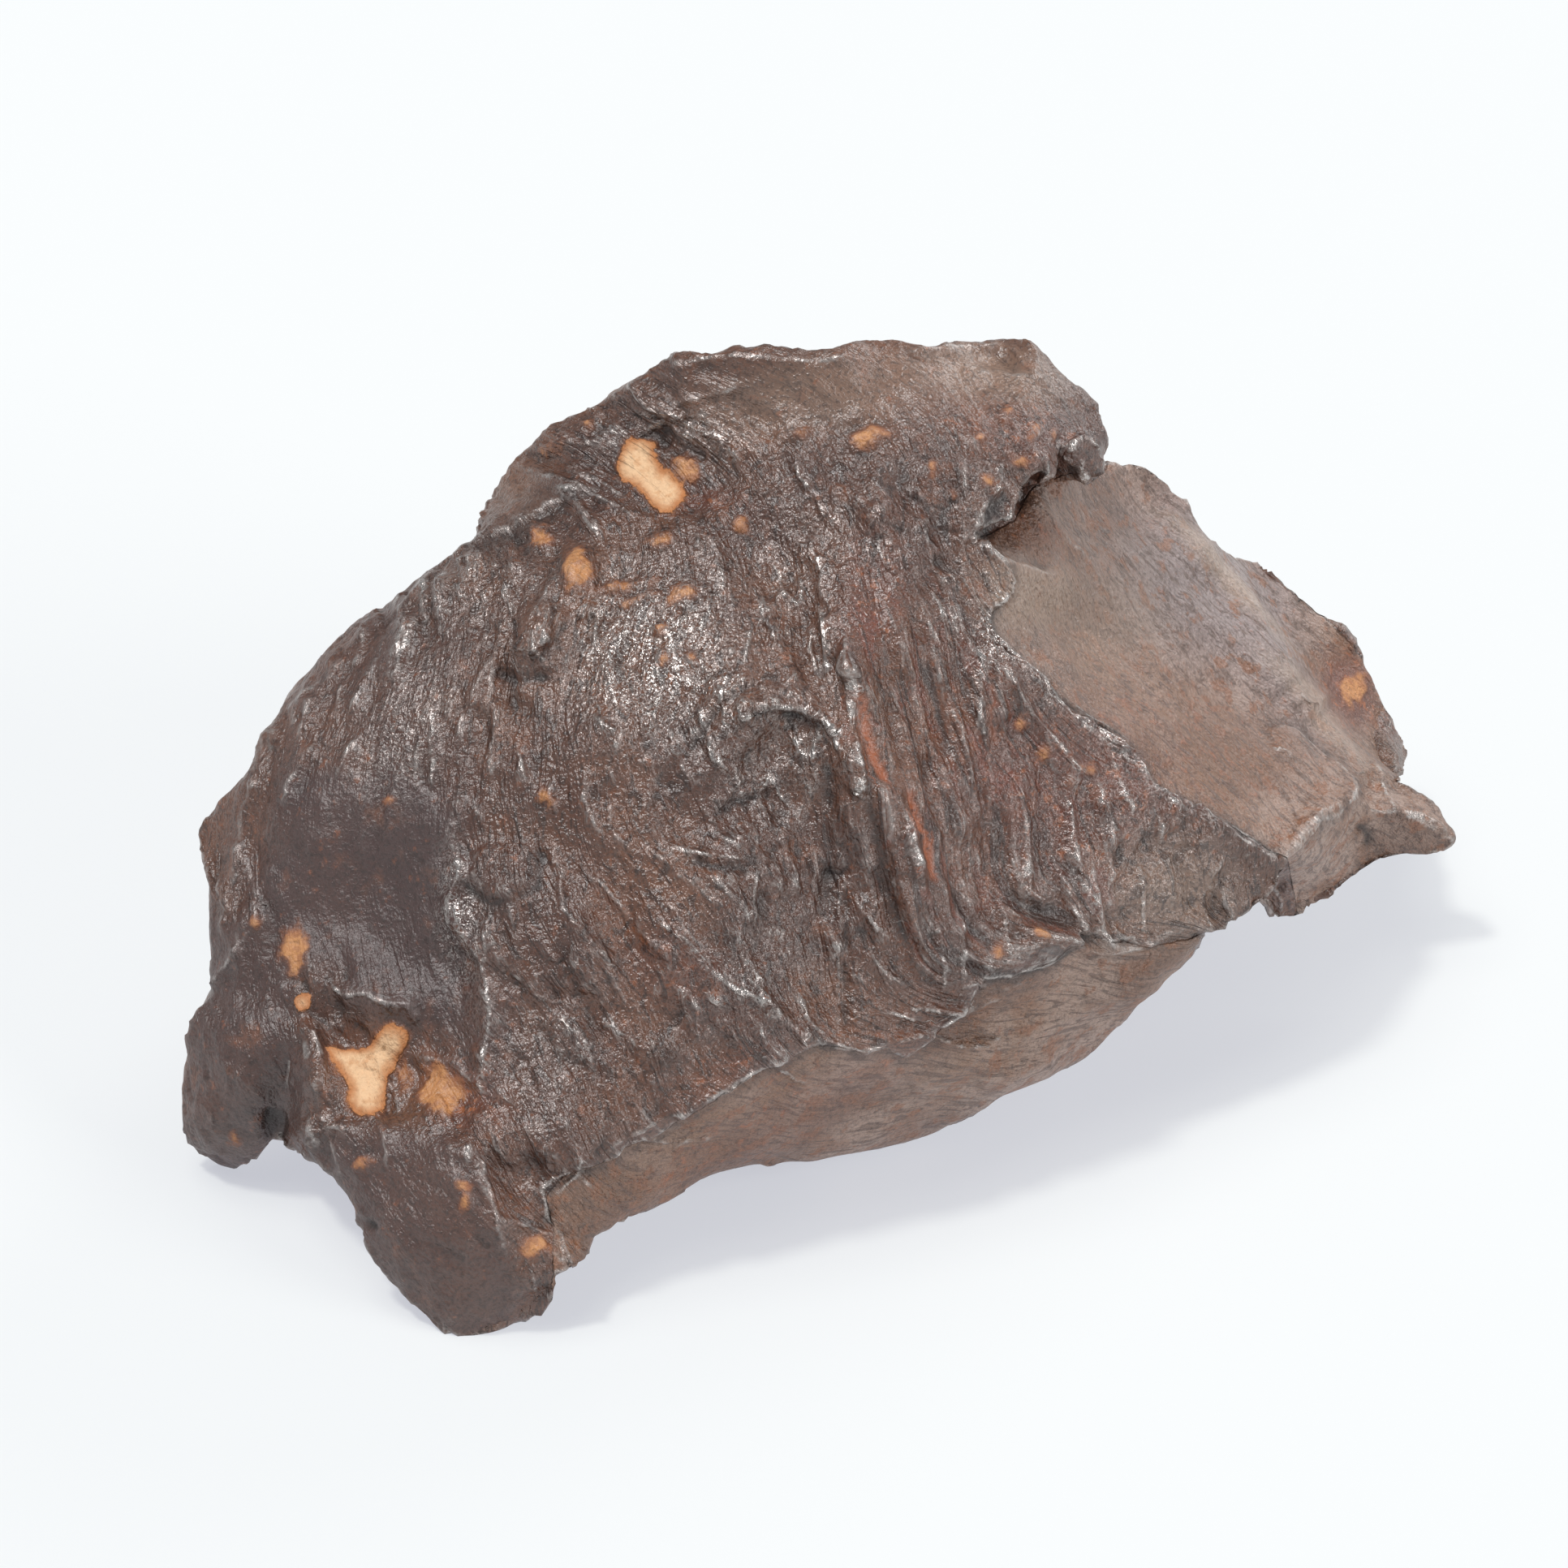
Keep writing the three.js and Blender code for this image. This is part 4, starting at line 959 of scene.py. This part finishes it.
def iron_finish():
    finish = bpy.data.materials.new("weathered_iron")
    finish.use_nodes = True
    tree = finish.node_tree
    tree.nodes.clear()

    def layer(name):
        return add_node(tree, "ShaderNodeAttribute", {"attribute_name": name}, output=2)

    place = add_node(tree, "ShaderNodeTexCoord", output=3)

    def grain(size_mm, detail, roughness=0.5):
        values = {"Vector": place, "Scale": 1 / (size_mm * MM), "Detail": detail, "Roughness": roughness}
        return add_node(tree, "ShaderNodeTexNoise", {}, values)

    across, far = layer("across"), layer("along")

    def flowing(size_mm, length_mm, detail=2.0, roughness=0.5):
        """Noise drawn out along the flow."""
        values = {"X": across * (1 / size_mm), "Y": far * (1 / length_mm), "Z": 0.0}
        where = add_node(tree, "ShaderNodeCombineXYZ", {}, values)
        values = {"Vector": where, "Scale": 1, "Detail": detail, "Roughness": roughness, "Distortion": 0.7}
        return add_node(tree, "ShaderNodeTexNoise", {"noise_dimensions": "2D"}, values)

    def unsigned(value):
        return add_node(tree, "ShaderNodeMath", {"operation": "ABSOLUTE"}, {0: value})

    def crests(value, width):
        """1 along the lines where a noise passes its middle, 0 further off."""
        return 1 - unsigned(value - 0.5).above(0, width)

    worn, painted_shade, mauve, striated = (layer(name) for name in ("worn", "painted_shade", "mauve", "striated"))
    calm, gloss_and_painted_glints, pale_and_painted_light, red, painted_lilac_sheen = (layer(name) for name in ("calm", "gloss_and_painted_glints", "pale_and_painted_light", "red", "painted_lilac_sheen"))
    cloud, patch, speck, dust = grain(9, 2), grain(2.5, 3), grain(0.7, 3, 0.6), grain(0.25, 2)
    blotch = grain(1.3, 3, 0.6)
    waver = speck * 0.5 + dust * 0.3 - 0.4
    plain = (layer("plain") + waver * 0.5).above(-0.08, 0.08)
    rough = 1 - (plain + calm).held()
    cream_inward = layer("cream") + (blotch - 0.5) * 0.9 + waver * 0.5
    orange_inward = layer("orange") + (blotch - 0.5) * 1.5 + waver * 0.5
    cream = cream_inward.above(-0.05, 0.08)
    orange = orange_inward.above(-0.18, 0.3) * (speck.above(0.3, 0.5) * 0.35 + 0.65)

    fibre, strand = flowing(0.2, 0.6), flowing(0.5, 1.3, 3, 0.6)
    stria, vein = flowing(0.45, 7, 3), flowing(0.9, 5)
    strand = strand * (1 - striated) + stria * striated
    combed = patch.above(0.42, 0.58) * 0.7 + 0.3
    line, line_rust, line_height, halo = 0, 0, 0, 0
    for number in range(LINE_SETS):
        away = unsigned(layer(f"off_line_{number}") + waver * 0.7)
        shine = layer(f"line_shine_{number}")
        line = (1 - away.above(0.02, 0.16)) * shine + line
        line_height = (1 - away.above(0, 0.3)) * shine + line_height
        halo = (1 - away.above(0.1, 0.6)) * shine + halo
        line_rust = (1 - away.above(0.05, 0.45)) * layer(f"line_rust_{number}") + line_rust
    rim = 1 - (layer("from_edge") + waver * 0.5).above(0.02, 0.2)
    # Glints: bare metal on worn crests, and glints painted on, thickest in the gloss zones.
    glints = crests(strand, 0.06) * worn + crests(dust, 0.07) * 0.6 * (gloss_and_painted_glints * 0.8 + halo * 0.2)
    glints = glints + dust.above(0.64, 0.72) * worn * (gloss_and_painted_glints * 0.8 + 0.25)
    lines = (line + rim * 0.8) * blotch.above(0.4, 0.6)
    shine = ((glints * (0.5 + gloss_and_painted_glints) * (1 - plain) + lines) * speck.above(0.3, 0.55)).held()
    shine = (shine * (1 - cream) * (1 - orange * 0.8)).held()

    body = blended(tree, cloud.above(0.35, 0.65), colour(84, 53, 40), colour(110, 73, 54))
    body = blended(tree, patch.above(0.3, 0.7) * 0.4, body, colour(78, 56, 50))
    smooth = blended(tree, cloud.above(0.38, 0.6), colour(120, 88, 70), colour(164, 138, 124))
    smooth = blended(tree, patch.above(0.48, 0.66) * 0.6, smooth, colour(134, 90, 62))
    # Painted sheen: a grey-lilac tint on the smooth face.
    smooth = blended(tree, painted_lilac_sheen.held(), smooth, colour(150, 134, 131))
    tanned = layer("tan") * (patch.above(0.3, 0.6) * 0.5 + 0.5)
    smooth = blended(tree, tanned.held(), smooth, colour(132, 94, 62))
    smooth = blended(tree, strand.above(0.48, 0.64) * 0.75, smooth, colour(92, 68, 55))
    smooth = blended(tree, blotch.above(0.55, 0.64) * 0.75, smooth, colour(140, 90, 58))
    body = blended(tree, plain * 0.9, body, smooth)
    body = blended(tree, mauve * 0.75, body, colour(66, 49, 49))
    # Paler patches, partly painted light on the tops and ridges.
    body = blended(tree, pale_and_painted_light.held(), body, colour(176, 152, 134))
    body = blended(tree, (striated * vein.above(0.52, 0.7) * 0.7 + red).held(), body, colour(108, 58, 42))
    body = blended(tree, patch.above(0.58, 0.74) * 0.35 * (1 - plain), body, colour(142, 88, 58))
    flecks = (speck.above(0.6, 0.75) * 0.4 + speck.above(0.56, 0.65) * red).held()
    body = blended(tree, flecks, body, colour(158, 92, 54))
    body = blended(tree, strand.above(0.54, 0.66) * 0.7 * rough, body, colour(46, 30, 25))
    # Painted shade in grooves, pits, hollows and under ledges.
    body = blended(tree, painted_shade * 0.9, body, colour(34, 23, 20))
    body = blended(tree, dust.above(0.48, 0.66) * 0.5 * (1 - plain * 0.4), body, colour(44, 31, 27))
    body = blended(tree, line_rust * (1 - speck.above(0.5, 0.65) * 0.7), body, colour(166, 92, 54))
    ochre = blended(tree, orange_inward.above(0, 0.5), colour(128, 74, 44), colour(204, 142, 86))
    ochre = blended(tree, speck.above(0.45, 0.65) * 0.6, ochre, colour(142, 84, 50))
    body = blended(tree, orange * 0.9, body, ochre)
    # Light grey and metallic: bare worn metal on crests and rims, with the painted glints.
    body = blended(tree, shine * 0.8, body, colour(200, 194, 190))
    chalk = blended(tree, cream_inward.above(0.05, 0.75), colour(184, 118, 68), colour(229, 190, 149))
    chalk = blended(tree, speck.above(0.5, 0.68) * 0.5, chalk, colour(196, 138, 90))
    body = blended(tree, cream, body, chalk)

    roughness = 0.36 - shine * 0.08 - gloss_and_painted_glints * 0.08 + plain * 0.08 + mauve * 0.14
    roughness = roughness + painted_shade * 0.15 + cream * 0.4 + orange * 0.2 + (dust - 0.5) * 0.25
    metallic = shine * 0.85
    torn = combed * (strand * 0.15 + fibre * 0.05) + crests(vein, 0.16) * 0.05 + speck * 0.13 + dust * 0.13
    pitted = strand * 0.16 + speck * 0.3 + blotch * 0.25 + fibre * 0.07
    calmer = fibre * 0.05 + dust * 0.08 + speck * 0.08 + plain * pitted
    bumps = torn * rough + calmer * (1 - rough) + line_height * 0.08 + (cream + orange * 0.5) * 0.12
    bumped = add_node(tree, "ShaderNodeBump", {}, {"Strength": 1, "Distance": MM, "Height": bumps})
    values = {"Base Color": body, "Roughness": roughness.held(), "Metallic": metallic, "Normal": bumped}
    surface = add_node(tree, "ShaderNodeBsdfPrincipled", {}, {**values, "IOR": IRON_IOR})
    add_node(tree, "ShaderNodeOutputMaterial", {}, {"Surface": surface})
    return finish


mesh.materials.append(iron_finish())
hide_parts("meteorite")
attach(skin, "root")


# The table, the light and the camera.

def plain_finish(name, paint, roughness, glow):
    finish = bpy.data.materials.new(name)
    finish.use_nodes = True
    shader = finish.node_tree.nodes["Principled BSDF"]
    shader.inputs["Base Color"].default_value = paint
    shader.inputs["Roughness"].default_value = roughness
    shader.inputs["Specular IOR Level"].default_value = 0
    shader.inputs["Emission Color"].default_value = (0.873, 0.898, 1, 1)
    shader.inputs["Emission Strength"].default_value = glow
    finish.cycles.emission_sampling = "NONE"
    return finish


TABLE_HALF = 3.0
TABLE_PAINT = (0.345, 0.352, 0.312, 1)
TABLE_GLOW = 0.58
table_corners = [(x * TABLE_HALF, y * TABLE_HALF, 0) for x, y in ((-1, -1), (1, -1), (1, 1), (-1, 1))]
table_mesh = bpy.data.meshes.new("table_top")
table_mesh.from_pydata(table_corners, [], [(0, 1, 2, 3)])
table_mesh.materials.append(plain_finish("pale_table", TABLE_PAINT, 0.8, TABLE_GLOW))
table = bpy.data.objects.new("table_top", table_mesh)
bpy.context.scene.collection.objects.link(table)


def soft_light(name, way, power, width):
    """A wide even light from one way, this many degrees across."""
    data = bpy.data.lights.new(name, "SUN")
    data.energy = power
    data.angle = math.radians(width)
    lamp = bpy.data.objects.new(name, data)
    lamp.rotation_euler = Vector(way).to_track_quat("Z", "Y").to_euler()
    bpy.context.scene.collection.objects.link(lamp)


soft_light("main_light", (-0.3, -0.02, 0.95), 1.15, 42)
soft_light("lamp", (-0.34, -0.1, 0.93), 1.45, 8)
soft_light("side_light", (0.8, -0.42, 0.42), 1.3, 30)
soft_light("back_light", (0.55, 0.7, 0.38), 1.0, 28)

world = bpy.data.worlds.new("studio")
world.use_nodes = True
world.node_tree.nodes["Background"].inputs["Color"].default_value = (0.93, 0.96, 1, 1)
world.node_tree.nodes["Background"].inputs["Strength"].default_value = 0.25
bpy.context.scene.world = world
bpy.context.scene.view_settings.view_transform = "Standard"

SENSOR = 36
lens = bpy.data.cameras.new("camera")
lens.sensor_width = SENSOR
lens.lens = SENSOR * VIEW_DISTANCE / PRINT_SIDE
lens.clip_start, lens.clip_end = 0.01, 20
camera = bpy.data.objects.new("camera", lens)
camera.location = EYE * MM
camera.rotation_euler = (math.pi / 2 - VIEW_ELEVATION, 0, 0)
bpy.context.scene.collection.objects.link(camera)
bpy.context.scene.camera = camera

bpy.context.view_layer.update()
